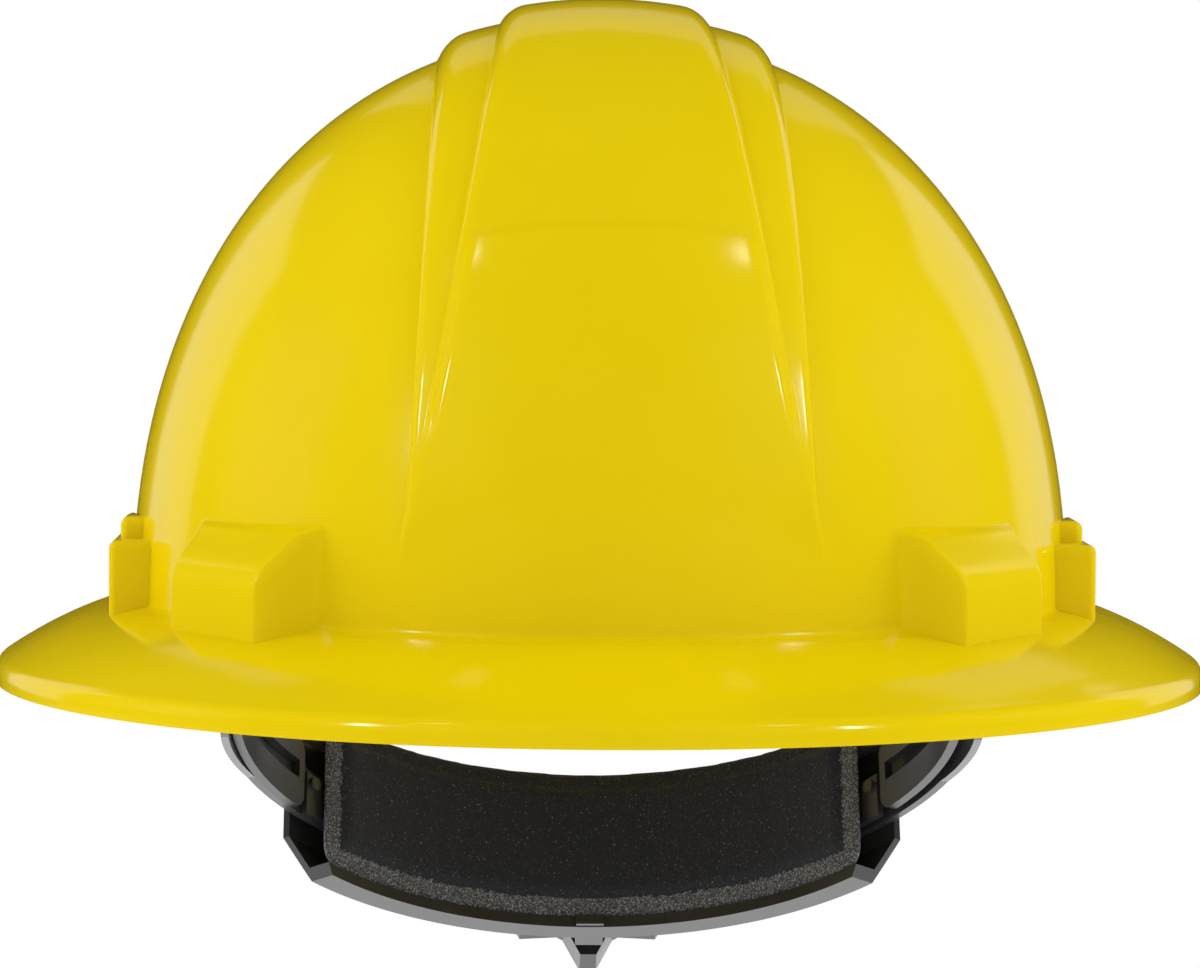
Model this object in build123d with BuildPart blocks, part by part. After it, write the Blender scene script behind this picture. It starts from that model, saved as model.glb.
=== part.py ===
from build123d import *
from math import acos, cos, degrees, pi, radians, sin, sqrt, tan
import os

# A full brim hard hat with its suspension, in millimetres.
# The origin is the middle of the head opening, in the plane of the brim's edge.
# -Y is the front, and +X is the wearer's left.

# Shell: dome and brim
dome_half_width = 111.0
dome_half_length = 121.0
dome_rise = 135.0
dome_base_height = 18.0
dome_power_share = 2.15
dome_section_count = 9
dome_top_angle = 80.0
wall = 2.5
brim_half_width = 143.0
brim_half_length = 163.5
brim_root_height = 21.3
brim_crown = 2.4
brim_edge_height = 4.6
brim_edge_radius = 2.0
lip_thickness = 3.0
overrun = 4.0

# Shell: crest of two stepped loaves and the raised front panel
inner_loaf_half_width = 25.5
inner_loaf_flare = 26.0
inner_loaf_rise = 8.0
outer_loaf_half_width = 39.6
outer_loaf_flare = 7.0
outer_loaf_rise = 4.6
loaf_shoulder_radius = 7.0
loaf_front_radius = 1.6
loaf_depth = 16.0
loaf_foot_angle = 10.0
loaf_foot_sink = 1.2
loaf_section_count = 15
panel_rise = 0.9
panel_margin = 1.4
panel_foot_angle = 16.0
panel_top_angle = 41.0
panel_section_count = 5
panel_foot_sink = 0.6

# Shell: the four pockets that hold the suspension's keys
pocket_angle = 54.0
pocket_across = 87.0
pocket_along = 91.0
pocket_width = 37.0
pocket_depth = 20.0
pocket_floor_height = 15.8
pocket_shoulder_height = 31.5
pocket_crest_height = 40.5
pocket_shoulder_radius = 4.5
pocket_edge_radius = 3.0
pocket_slot_width = 25.8
pocket_slot_thickness = 4.4
pocket_slot_top = 27.3
slot_clearance = 0.2

# Shell: accessory blocks on both sides
block_half_width = 114.2
block_front = 40.0
block_rear = 2.0
block_top = 34.3
block_floor = 16.5
block_edge_radius = 1.8
block_reach = 14.0
lug_half_width = 112.2
lug_front = 30.0
lug_rear = 12.0
lug_top = 39.2
lug_radius = 2.0
accessory_slot_length = 28.0
accessory_slot_thickness = 2.6
accessory_slot_skin = 2.0
accessory_slot_roof = 3.3

# Keys and crown straps
strap_angle = 42.0
strap_reach = 100.0
strap_width = 19.0
strap_thickness = 1.2
strap_foot_height = 42.0
strap_crown_height = 120.0
strap_power_share = 2.2
strap_crossing_gap = 0.8
strap_gap = 0.3
strap_side_gap = 1.1
key_thickness = 3.0
key_width = 26.0
key_floor = 8.5
key_foot_height = 5.0
key_foot_width = 20.0
key_top = 46.0
key_window_height = 5.0
key_bar_floor = 27.5
key_corner_radius = 4.0
key_reach = 121.0
stud_radius = 2.5
stud_height = 16.0
stud_root = 94.6
stud_end = 0.6
bearing_clearance = 0.08

# Ring of the nape straps: a circle tilted down towards the rear
ring_tilt = 33.0
ring_centre_back = 15.0
ring_centre_height = -6.0
sliding_gap = 0.3

# Headband and brow sweatband
headband_half_width = 87.8
headband_front_depth = 126.0
headband_rear_depth = 82.0
headband_thickness = 2.2
headband_floor = -4.0
headband_top = 30.0
hanger_floor = 10.0
hanger_top = 26.0
hanger_end_back = 66.0
plate_half_length = 12.0
plate_floor = -13.0
plate_step = 0.3
plate_corner_radius = 5.0
tab_outer_radius = 88.4
tab_floor = -8.5
tab_top = 11.0
tab_end_angle = 33.3
tab_corner_radius = 4.0
sweatband_thickness = 4.0
sweatband_floor = -3.0
sweatband_top = 27.0
sweatband_end_forward = 34.0

# Left and right straps, each with its rack
nape_strap_wall = 1.9
right_strap_radius = 88.8
strap_front_angle = -6.0
strap_shoulder_angle = 52.0
rack_overlap_angle = 2.0
rack_tail_angle = 97.5
nape_strap_floor = -8.0
nape_strap_top = 17.0
nape_strap_drop = 4.2
drop_end_angle = 20.0
rack_height = 14.0
window_start_angle = 34.8
window_end_angle = 47.0
window_floor = 5.5
window_top = 14.0
window_corner_radius = 3.0
nape_strap_corner_radius = 3.5

# Pinion and racks
gear_module = 1.0
pinion_tooth_count = 8
rack_tooth_count = 20
pressure_angle = 25.0
tooth_tip_share = 0.8
tooth_root_share = 1.0
pinion_root_share = 2.85
backlash = 0.12
mesh_gap = 0.35
knob_turn_count = 2
shaft_radius = 2.8
shaft_flat = 2.3
spigot_radius = 2.0
spigot_length = 1.5
rack_tooth_inset = 0.1

# Lap posts that run in the headband's slots
post_angle = -2.0
post_height = 2.0
post_radius = 2.2
post_head_radius = 4.2
post_head_height = 1.5
post_rim_height = 0.8
post_slot_end_angle = 31.8

# Nape carrier and pad
carrier_start_angle = 35.5
carrier_wall_start_angle = 44.0
carrier_skin = 1.8
carrier_floor = -23.5
carrier_lip_radius = 84.0
carrier_lip_height = 3.0
carrier_rib_start_angle = 52.0
skirt_foot_radius = 90.5
end_slope_width = 6.0
end_slope_height = 11.0
guide_start_angle = 34.5
guide_end_angle = 46.0
guide_top = 3.0
guide_bump_angle = 36.3
guide_bump_height = 0.5
guide_bump_radius = 1.7
guide_bump_rise = 0.9
pad_inner_radius = 82.0
pad_half_height = 20.2
pad_start_angle = 38.0
pad_border = 5.0
pad_border_thickness = 2.4
pad_corner_radius = 6.0

# Ratchet cover with its screws
cover_width = 62.0
cover_height = 35.0
cover_thickness = 7.0
cover_depth = 18.0
cover_corner_radius = 14.0
cover_edge_radius = 4.5
cover_gap = 0.2
clip_width = 7.0
clip_thickness = 1.4
clip_hook_height = 2.6
screw_radius = 1.6
screw_head_radius = 2.9
screw_head_height = 1.8
screw_recess = 2.3
screw_half_spacing = 22.0
screw_drop = 12.0
screw_length = 12.0
screw_boss_radius = 3.4
screw_drive_radius = 1.3
screw_drive_depth = 1.0

# Ratchet knob and detent
knob_radius = 21.6
knob_core_radius = 14.5
knob_lobe_count = 6
knob_lobe_root_width = 13.0
knob_lobe_tip_width = 4.2
knob_height = 12.0
knob_chamfer = 1.6
knob_gap = 0.5
knob_hub_radius = 7.0
knob_recess_radius = 8.0
knob_recess_depth = 2.4
detent_radius = 12.0
detent_depth = 4.6
detent_tooth_count = 24
detent_tooth_height = 1.1
click_arm_count = 3
click_hub_radius = 4.6
click_arm_offset = 3.9
click_arm_reach = 8.7
click_arm_width = 1.2
click_nub_radius = 0.8
click_thickness = 1.6
cap_radius = 5.0
cap_thickness = 1.6
cap_screw_radius = 1.2
cap_screw_length = 6.0

# Worked out from the sizes above
left_strap_radius = right_strap_radius + nape_strap_wall + sliding_gap
channel_inner_radius = right_strap_radius - sliding_gap
channel_outer_radius = left_strap_radius + nape_strap_wall + sliding_gap
carrier_outer_radius = channel_outer_radius + carrier_skin
carrier_inner_radius = channel_inner_radius - carrier_skin
channel_floor = nape_strap_floor - sliding_gap
channel_top = nape_strap_top + sliding_gap
carrier_top = channel_top + carrier_skin
pad_outer_radius = carrier_inner_radius - sliding_gap
pitch_radius = gear_module * pinion_tooth_count / 2
pinion_tip_radius = pitch_radius + gear_module * tooth_tip_share
rack_pitch = pi * gear_module
rack_middle = nape_strap_floor + rack_height / 2
slot_plain_reach = pinion_tip_radius + mesh_gap
slot_tooth_reach = pitch_radius + gear_module * tooth_root_share
strap_travel = 2 * pi * knob_turn_count * pitch_radius
cover_inner_radius = carrier_outer_radius + cover_gap
cover_face = cover_inner_radius + cover_thickness
knob_back = cover_face + knob_gap
knob_face = knob_back + knob_height
click_floor = cover_face - detent_depth + sliding_gap
tab_inner_radius = tab_outer_radius - headband_thickness
key_inner = strap_reach + strap_thickness / 2 + strap_gap
key_outer = key_inner + key_thickness
loop_middle = key_inner + key_thickness / 2
loop_radius = loop_middle - strap_reach
hub_floor = click_floor + click_thickness + sliding_gap
cap_seat = knob_face - knob_recess_depth
pinion_floor = right_strap_radius - rack_tooth_inset
pinion_face = left_strap_radius + nape_strap_wall - 2 * rack_tooth_inset
lip_top = carrier_floor + carrier_lip_height
clip_top = lip_top - slot_clearance
rib_floor = channel_floor - carrier_skin
skirt_top = nape_strap_floor - nape_strap_drop - sliding_gap
screw_seat = cover_face - screw_recess
screw_spots = ((-screw_half_spacing, -screw_drop), (screw_half_spacing, -screw_drop))

across = Vector(1, 0, 0)
outward = Vector(0, cos(radians(ring_tilt)), -sin(radians(ring_tilt)))
upward = Vector(0, sin(radians(ring_tilt)), cos(radians(ring_tilt)))
ring_centre = Vector(0, ring_centre_back, ring_centre_height)
ring_plane = Plane(origin=ring_centre, x_dir=across, z_dir=upward)
ring_side_plane = Plane(origin=ring_centre, x_dir=outward, z_dir=across)
strap_direction = Vector(sin(radians(strap_angle)), -cos(radians(strap_angle)), 0)
key_plane = Plane(origin=(0, 0, 0), x_dir=strap_direction, z_dir=(0, 0, 1))
strap_plane = Plane(origin=(0, 0, 0), x_dir=strap_direction, z_dir=-key_plane.y_dir)
key_face_plane = Plane(origin=(0, 0, 0), x_dir=key_plane.y_dir, z_dir=strap_direction)
pocket_direction = Vector(sin(radians(pocket_angle)), -cos(radians(pocket_angle)), 0)
pocket_plane = Plane(origin=(pocket_across, -pocket_along, 0), x_dir=pocket_direction, z_dir=(0, 0, 1))


def knob_plane(distance):
    """A plane square to the knob's axis, with its middle on that axis and +Y up the nape."""
    middle = ring_centre + outward * distance + upward * rack_middle
    return Plane(origin=middle, x_dir=-across, z_dir=outward)


def radial_plane(angle, distance, height):
    """A plane that faces outwards at one place of the tilted ring, with +Y up the nape."""
    turn = radians(angle)
    away = across * cos(turn) + outward * sin(turn)
    along = outward * cos(turn) - across * sin(turn)
    return Plane(origin=ring_centre + away * distance + upward * height, x_dir=along, z_dir=away)


def edges_at(body, distance):
    """The edges of a body that lie in the plane square to the knob's axis at one distance."""
    plane = knob_plane(distance)
    return body.edges().filter_by(lambda e: abs(plane.to_local_coords(e.center()).Z) < slot_clearance)


def spread(first, last, count):
    """Evenly spaced values from the first to the last."""
    return [first + (last - first) * step / (count - 1) for step in range(count)]


def power_arc(reach, rise, power, foot=0.0):
    """Points of a quarter of a superellipse, from its foot to its top."""
    turns = spread(0, pi / 2, 9)[:-1]
    points = [(reach * cos(t) ** (2 / power), foot + rise * sin(t) ** (2 / power)) for t in turns]
    return points + [(0, foot + rise)]


def corners(piece):
    """The piece of the front left corner and its three mirror images, by the name of their corner."""
    right = piece.mirror(Plane.YZ)
    return {
        "front_left": piece,
        "front_right": right,
        "rear_left": piece.mirror(Plane.XZ),
        "rear_right": right.mirror(Plane.XZ),
    }


def arc_wall(inner, outer, start, end, floor, top):
    """A stretch of wall round the tilted ring, between two angles and two heights."""
    with BuildPart() as body:
        with BuildSketch(ring_plane.offset(floor)):
            with BuildLine():
                outside = CenterArc((0, 0), outer, start, end - start)
                inside = CenterArc((0, 0), inner, start, end - start)
                Line(outside @ 0, inside @ 0)
                Line(outside @ 1, inside @ 1)
            make_face()
        extrude(amount=top - floor)
    return body.part


def dome(half_width, half_length, rise):
    """A closed half dome that stands on the plane of the dome's base."""
    with BuildPart() as body:
        for turn in spread(0, radians(dome_top_angle), dome_section_count):
            share = cos(turn) ** (2 / dome_power_share)
            height = dome_base_height + rise * sin(turn) ** (2 / dome_power_share)
            with BuildSketch(Plane.XY.offset(height)):
                Ellipse(half_width * share, half_length * share)
        loft()
    return body.part


def brim_plug(inset, drop):
    """The body under the brim's upper face, moved inwards and down."""
    root_width = dome_half_width - 2 * wall
    root_length = dome_half_length - 2 * wall
    edge_width = brim_half_width - inset
    edge_length = brim_half_length - inset
    middle_height = (brim_root_height + brim_edge_height) / 2 + brim_crown
    rings = (
        (root_width, root_length, brim_root_height),
        ((root_width + edge_width) / 2, (root_length + edge_length) / 2, middle_height),
        (edge_width, edge_length, brim_edge_height),
    )
    with BuildPart() as body:
        for ring_width, ring_length, ring_height in rings:
            with BuildSketch(Plane.XY.offset(ring_height - drop)):
                Ellipse(ring_width, ring_length)
        loft()
    return body.part


def crest_radius(turn, rise):
    """How far the crest's middle line lies from the middle of the dome's base."""
    reach = (abs(cos(turn)) / dome_half_length) ** dome_power_share
    climb = (sin(turn) / dome_rise) ** dome_power_share
    lean = abs(pi / 2 - turn) / (pi / 2 - radians(loaf_foot_angle))
    swell = max(0, 1 - lean**2) ** (3 / 2)
    return (reach + climb) ** (-1 / dome_power_share) + rise * swell - loaf_foot_sink * lean**16


def loaf(half_width, flare, rise, lifts, angles):
    """A rounded bar over the dome, through sections that fan round the middle of the dome's base."""
    with BuildPart() as body:
        for angle, lift in zip(angles, lifts):
            turn = radians(angle)
            away = Vector(0, -cos(turn), sin(turn))
            top = crest_radius(turn, rise) + lift
            reach = half_width + flare * (1 - sin(turn))
            edge = top - reach**2 / (2 * dome_half_width)
            shoulder = loaf_front_radius + (loaf_shoulder_radius - loaf_front_radius) * sin(turn) ** 4
            fan = Plane(origin=(0, 0, dome_base_height), x_dir=across, z_dir=across.cross(away))
            with BuildSketch(fan):
                with BuildLine():
                    crown = ThreePointArc((-reach, edge), (0, top), (reach, edge))
                    Polyline(crown @ 1, (reach, top - loaf_depth), (-reach, top - loaf_depth), crown @ 0)
                face = make_face()
                fillet(face.vertices().sort_by(Axis.Y)[-2:], radius=shoulder)
        loft()
    return body.part


def pocket_block():
    """The box that stands out of the dome's front left corner."""
    side_plane = Plane(origin=pocket_plane.origin, x_dir=pocket_direction, z_dir=-pocket_plane.y_dir)
    with BuildPart() as body:
        with BuildSketch(side_plane):
            with BuildLine():
                Polyline(
                    (0, pocket_floor_height),
                    (0, pocket_shoulder_height),
                    (-pocket_depth / 2, pocket_crest_height),
                    (-pocket_depth, pocket_crest_height),
                    (-pocket_depth, pocket_floor_height),
                    close=True,
                )
            side = make_face()
            shoulder = side.vertices().filter_by(lambda v: v.Y == pocket_shoulder_height)
            fillet(shoulder, pocket_shoulder_radius)
        extrude(amount=pocket_width / 2, both=True)
        ends = body.faces().filter_by(lambda f: abs(abs(f.normal_at().dot(pocket_plane.y_dir)) - 1) < 1 / 100)
        rims = ends.edges().filter_by(lambda e: e.center().Z > pocket_floor_height + overrun)
        outer_rims = rims.filter_by(lambda e: pocket_plane.to_local_coords(e.center()).X > -pocket_depth / 3)
        fillet(outer_rims, pocket_edge_radius)
    return body.part


def accessory_block():
    """The slotted block on the wearer's left, with the lug above it."""
    with BuildPart() as body:
        with BuildSketch(Plane.XY.offset(block_floor)):
            with Locations((block_half_width - block_reach / 2, (block_rear - block_front) / 2)):
                Rectangle(block_reach, block_front + block_rear)
        extrude(amount=block_top - block_floor)
        fillet(body.faces().sort_by(Axis.X)[-1].edges().sort_by(Axis.Z)[1:], block_edge_radius)
    with BuildPart() as lug:
        with BuildSketch(Plane.XY.offset(block_floor)):
            with Locations((lug_half_width - block_reach / 2, -(lug_rear + lug_front) / 2)):
                Rectangle(block_reach, lug_front - lug_rear)
        extrude(amount=lug_top - block_floor)
        fillet(lug.faces().sort_by(Axis.X)[-1].edges().sort_by(Axis.Z)[1:], lug_radius)
    return body.part + lug.part


def shaft_profile(clearance):
    """The round of the ratchet's shaft with its two flats."""
    with BuildSketch() as profile:
        Circle(shaft_radius + clearance)
        Rectangle(2 * knob_radius, 2 * (shaft_flat + clearance), mode=Mode.INTERSECT)
    return profile.sketch


def half_tooth_angle(radius):
    """Half the angle that a pinion tooth takes up at one radius, on an involute of the pressure angle."""
    base_radius = pitch_radius * cos(radians(pressure_angle))
    lean = acos(min(1, base_radius / radius))
    involute = tan(radians(pressure_angle)) - radians(pressure_angle) - tan(lean) + lean
    return (rack_pitch / 2 - backlash) / (2 * pitch_radius) + involute


def pinion_outline():
    """The corners of the pinion's outline, tooth after tooth, with one tooth pointing up the nape."""
    root_radius = gear_module * pinion_root_share
    radii = [root_radius] + spread(pitch_radius * cos(radians(pressure_angle)), pinion_tip_radius, 4)
    points = []
    for tooth in range(pinion_tooth_count):
        middle = pi / 2 - 2 * pi * tooth / pinion_tooth_count
        rising = [(r, middle + half_tooth_angle(r)) for r in radii]
        falling = [(r, middle - half_tooth_angle(r)) for r in reversed(radii)]
        points += [(r * cos(t), r * sin(t)) for r, t in rising + falling]
    return points


def rack_tooth(angle, radius, side):
    """One rack tooth, which points at the knob's axis from above (side 1) or from below (side -1)."""
    slope = tan(radians(pressure_angle))
    half_middle = (rack_pitch / 2 - backlash) / 2
    half_root = half_middle + slope * gear_module * tooth_root_share
    half_tip = half_middle - slope * gear_module * tooth_tip_share
    bite = slot_tooth_reach + gear_module / 2
    tip = pitch_radius - gear_module * tooth_tip_share
    with BuildPart() as body:
        with BuildSketch(radial_plane(angle, radius + rack_tooth_inset, rack_middle)):
            with BuildLine():
                Polyline(
                    (-half_root, side * bite),
                    (-half_root, side * slot_tooth_reach),
                    (-half_tip, side * tip),
                    (half_tip, side * tip),
                    (half_root, side * slot_tooth_reach),
                    (half_root, side * bite),
                    close=True,
                )
            make_face()
        extrude(amount=nape_strap_wall - 2 * rack_tooth_inset)
    return body.part


def nape_strap(radius, side):
    """A nape strap on the wearer's left, with teeth above (side 1) or below (side -1) the knob's axis."""
    outer = radius + nape_strap_wall
    rack_top = nape_strap_floor + rack_height
    low, high = nape_strap_floor - nape_strap_drop, nape_strap_floor
    blade = arc_wall(radius, outer, strap_front_angle, strap_shoulder_angle, low, nape_strap_top)
    tail = arc_wall(radius, outer, strap_shoulder_angle - rack_overlap_angle, rack_tail_angle, high, rack_top)
    tooth_angle = degrees(rack_pitch / (radius + nape_strap_wall / 2))
    travel_angle = degrees(strap_travel / (radius + nape_strap_wall / 2))
    slot_margin = degrees(slot_plain_reach / radius)
    if side > 0:
        slot_floor, slot_top = rack_middle - slot_plain_reach, rack_middle + slot_tooth_reach
    else:
        slot_floor, slot_top = rack_middle - slot_tooth_reach, rack_middle + slot_plain_reach
    knob_angle = 90.0
    slot_start = knob_angle - travel_angle - slot_margin
    slot_end = knob_angle + slot_margin
    slot = arc_wall(radius - overrun, outer + overrun, slot_start, slot_end, slot_floor, slot_top)
    with BuildPart() as below:
        with BuildSketch(ring_side_plane):
            with BuildLine():
                Polyline(
                    (-radius, low),
                    (0, low),
                    (radius * sin(radians(drop_end_angle)), high),
                    (2 * radius, high),
                    (2 * radius, low - overrun),
                    (-radius, low - overrun),
                    close=True,
                )
            make_face()
        extrude(amount=2 * radius, both=True)
    window_middle = (window_start_angle + window_end_angle) / 2
    window_width = radius * radians(window_end_angle - window_start_angle)
    with BuildPart() as window:
        with BuildSketch(radial_plane(window_middle, radius - overrun, (window_floor + window_top) / 2)):
            RectangleRounded(window_width, window_top - window_floor, window_corner_radius)
        extrude(amount=nape_strap_wall + 2 * overrun)
    with BuildPart() as post_hole:
        with BuildSketch(radial_plane(post_angle, radius - overrun, post_height)):
            Circle(post_radius + bearing_clearance)
        extrude(amount=nape_strap_wall + 2 * overrun)
    with BuildPart() as strap:
        add(blade)
        add(tail)
        for cutter in (below.part, slot, window.part, post_hole.part):
            add(cutter, mode=Mode.SUBTRACT)
        for place in spread(1, rack_tooth_count, rack_tooth_count):
            add(rack_tooth(knob_angle + tooth_angle * (3 / 2 + 1 - place), radius, side))
        for angle, height in (
            (strap_front_angle, nape_strap_top),
            (strap_front_angle, low),
            (strap_shoulder_angle, nape_strap_top),
            (strap_shoulder_angle, rack_top),
        ):
            spot = radial_plane(angle, radius + nape_strap_wall / 2, height).origin
            fillet(strap.edges().sort_by_distance(spot)[0], nape_strap_corner_radius)
    return strap.part


def lap_post(radius):
    """The post in a nape strap's front end, with a head behind the headband's slot and an outer rim."""
    head_radius = tab_inner_radius - sliding_gap - 3 * plate_step - post_head_height
    head_plane = radial_plane(post_angle, head_radius, post_height)
    with BuildPart() as post:
        with BuildSketch(head_plane):
            Circle(post_head_radius)
        extrude(amount=post_head_height)
        fillet(post.edges().sort_by_distance(ring_centre)[0], post_head_height / 3)
        with BuildSketch(head_plane):
            Circle(post_radius)
        extrude(amount=radius + nape_strap_wall + post_rim_height - head_radius)
        with BuildSketch(radial_plane(post_angle, radius + nape_strap_wall, post_height)):
            Circle(post_head_radius * 3 / 4)
        extrude(amount=post_rim_height)
    return post.part


def crown_strap(lift):
    """A crown strap from front left to rear right, which turns round a key's bar at both ends."""
    half = strap_thickness / 2
    rise = strap_crown_height + lift - strap_foot_height
    start = Vector(strap_reach, strap_foot_height)
    end = Vector(strap_reach + 2 * loop_radius, strap_foot_height)
    with BuildPart() as strap:
        with BuildSketch(strap_plane):
            with BuildLine():
                outside = Spline(
                    *power_arc(strap_reach + half, rise + half, strap_power_share, strap_foot_height),
                    tangents=((0, 1), (-1, 0)),
                )
                inside = Spline(
                    *power_arc(strap_reach - half, rise - half, strap_power_share, strap_foot_height),
                    tangents=((0, 1), (-1, 0)),
                )
                Line(outside @ 1, inside @ 1)
                down = Line(inside @ 0, (start.X - half, key_bar_floor))
                outer_turn = CenterArc((loop_middle, key_bar_floor), loop_radius + half, 180, 180)
                inner_turn = CenterArc((loop_middle, key_bar_floor), loop_radius - half, 180, 180)
                Polyline(outer_turn @ 1, (end.X + half, end.Y), (end.X - half, end.Y), inner_turn @ 1)
                Line(inner_turn @ 0, outside @ 0)
            make_face()
        extrude(amount=strap_width / 2, both=True)
        mirror(about=Plane(origin=(0, 0, 0), z_dir=strap_direction))
    return strap.part


def round_corners(piece, start, radius, half_height):
    """Rounds the four upright corners of a stretch of wall that is even about the nape."""
    with BuildPart() as rounded:
        add(piece)
        for angle in (start, 180 - start):
            for height in (-half_height, half_height):
                spot = radial_plane(angle, radius, height).origin
                fillet(rounded.edges().sort_by_distance(spot)[0], pad_corner_radius)
    return rounded.part


def detent_outline():
    """The corners of the detent's ring of inner teeth."""
    points = []
    for step in range(2 * detent_tooth_count):
        radius = detent_radius - detent_tooth_height * (step % 2)
        turn = pi * step / detent_tooth_count
        points.append((radius * cos(turn), radius * sin(turn)))
    return points


def lobe_outline():
    """The corners of the lobe that points down the nape."""
    root, tip = knob_lobe_root_width / 2, knob_lobe_tip_width / 2
    root_reach = sqrt(knob_core_radius**2 - root**2)
    left_side = [(-root, 0), (-root, -root_reach), (-tip, -knob_radius)]
    return left_side + [(tip, -knob_radius), (root, -root_reach), (root, 0)]


def clip_outline():
    """The corners of the cover's clip, which runs in through the lip's notch and hooks down behind it."""
    outside = cover_inner_radius + 2 * clip_thickness
    inside = carrier_lip_radius - slot_clearance
    return [
        (cover_inner_radius, carrier_floor + 2 * carrier_lip_height),
        (outside, carrier_floor + 2 * carrier_lip_height),
        (outside, clip_top - clip_thickness),
        (inside, clip_top - clip_thickness),
        (inside, clip_top - clip_hook_height),
        (inside - clip_thickness, clip_top - clip_hook_height),
        (inside - clip_thickness, clip_top),
        (cover_inner_radius, clip_top),
    ]


def carrier_shell():
    """The carrier's outer wall, whose skirt leans in below the channel and ends in the lip under the pad."""
    lean_share = (carrier_outer_radius - skirt_foot_radius) / (skirt_top - carrier_floor)
    end_plane = radial_plane(carrier_start_angle, 0, 0)
    with BuildPart() as body:
        with BuildSketch(Plane(origin=ring_centre, x_dir=end_plane.z_dir, z_dir=-end_plane.x_dir)):
            with BuildLine():
                Polyline(
                    (channel_outer_radius, carrier_top),
                    (carrier_outer_radius, carrier_top),
                    (carrier_outer_radius, skirt_top),
                    (skirt_foot_radius, carrier_floor),
                    (carrier_lip_radius, carrier_floor),
                    (carrier_lip_radius, lip_top),
                    (skirt_foot_radius - carrier_skin + lean_share * carrier_lip_height, lip_top),
                    (channel_outer_radius, skirt_top),
                    close=True,
                )
            make_face()
        revolve(axis=Axis(ring_centre, upward), revolution_arc=180 - 2 * carrier_start_angle)
    return body.part


def save(piece, name):
    """Labels a finished piece and writes it to its own file."""
    piece.label = name
    export_step(piece, f"parts/{name}.step")


os.makedirs("parts", exist_ok=True)

# The shell: dome, brim, crest and panel, with pockets and accessory blocks, hollowed by one cavity
crest_angles = spread(loaf_foot_angle, 180 - loaf_foot_angle, loaf_section_count)
panel_angles = spread(panel_foot_angle, panel_top_angle, panel_section_count)
level = [0] * loaf_section_count
below = [-wall] * loaf_section_count
panel_lifts = [-panel_foot_sink, panel_rise / 2] + [panel_rise] * (panel_section_count - 2)
outer_loaf = loaf(outer_loaf_half_width, outer_loaf_flare, outer_loaf_rise, level, crest_angles)
inner_loaf = loaf(inner_loaf_half_width, inner_loaf_flare, inner_loaf_rise, level, crest_angles)
inner_recess = loaf(inner_loaf_half_width - wall, inner_loaf_flare, inner_loaf_rise, below, crest_angles)
panel_half_width = inner_loaf_half_width - panel_margin
front_panel = loaf(panel_half_width, inner_loaf_flare, inner_loaf_rise, panel_lifts, panel_angles)
outer_dome = dome(dome_half_width, dome_half_length, dome_rise)
inner_dome = dome(dome_half_width - wall, dome_half_length - wall, dome_rise - wall)
brim_top = brim_plug(0, 0)
brim_hollow = brim_plug(lip_thickness, wall)
pockets = corners(pocket_block())
left_block = accessory_block()

with BuildPart() as brim:
    add(brim_top)
    with BuildSketch():
        Ellipse(brim_half_width, brim_half_length)
    extrude(amount=brim_edge_height)
    fillet(brim.edges().sort_by_distance((-brim_half_width, 0, brim_edge_height))[0], brim_edge_radius)
    add(brim_hollow, mode=Mode.SUBTRACT)
    with BuildSketch(Plane.XY.offset(-overrun)):
        Ellipse(brim_half_width - lip_thickness, brim_half_length - lip_thickness)
    extrude(amount=brim_edge_height - wall + overrun, mode=Mode.SUBTRACT)

with BuildPart() as key_slot:
    with BuildSketch(pocket_plane.offset(key_floor)):
        with Locations((-wall - pocket_slot_thickness / 2, 0)):
            Rectangle(pocket_slot_thickness, pocket_slot_width)
    extrude(amount=pocket_slot_top - key_floor)
key_slots = corners(key_slot.part)

with BuildPart() as accessory_slot:
    slot_middle = block_half_width - accessory_slot_skin - accessory_slot_thickness / 2
    with BuildSketch(Plane.XY.offset(block_floor - overrun)):
        with Locations((slot_middle, (block_rear - block_front) / 2)):
            Rectangle(accessory_slot_thickness, accessory_slot_length)
    extrude(amount=block_top - accessory_slot_roof - block_floor + overrun)

with BuildPart() as shell:
    add(outer_dome)
    add(outer_loaf)
    add(inner_loaf)
    add(front_panel)
    add(brim.part)
    for pocket in pockets.values():
        add(pocket)
    add(left_block)
    add(left_block.mirror(Plane.YZ))
    add(inner_dome, mode=Mode.SUBTRACT)
    add(inner_recess, mode=Mode.SUBTRACT)
    with BuildSketch(Plane.XY.offset(-overrun)):
        Ellipse(dome_half_width - wall, dome_half_length - wall)
    extrude(amount=dome_base_height + overrun, mode=Mode.SUBTRACT)
    for slot in key_slots.values():
        add(slot, mode=Mode.SUBTRACT)
    add(accessory_slot.part, mode=Mode.SUBTRACT)
    add(accessory_slot.part.mirror(Plane.YZ), mode=Mode.SUBTRACT)
save(shell.part, "shell")

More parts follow.
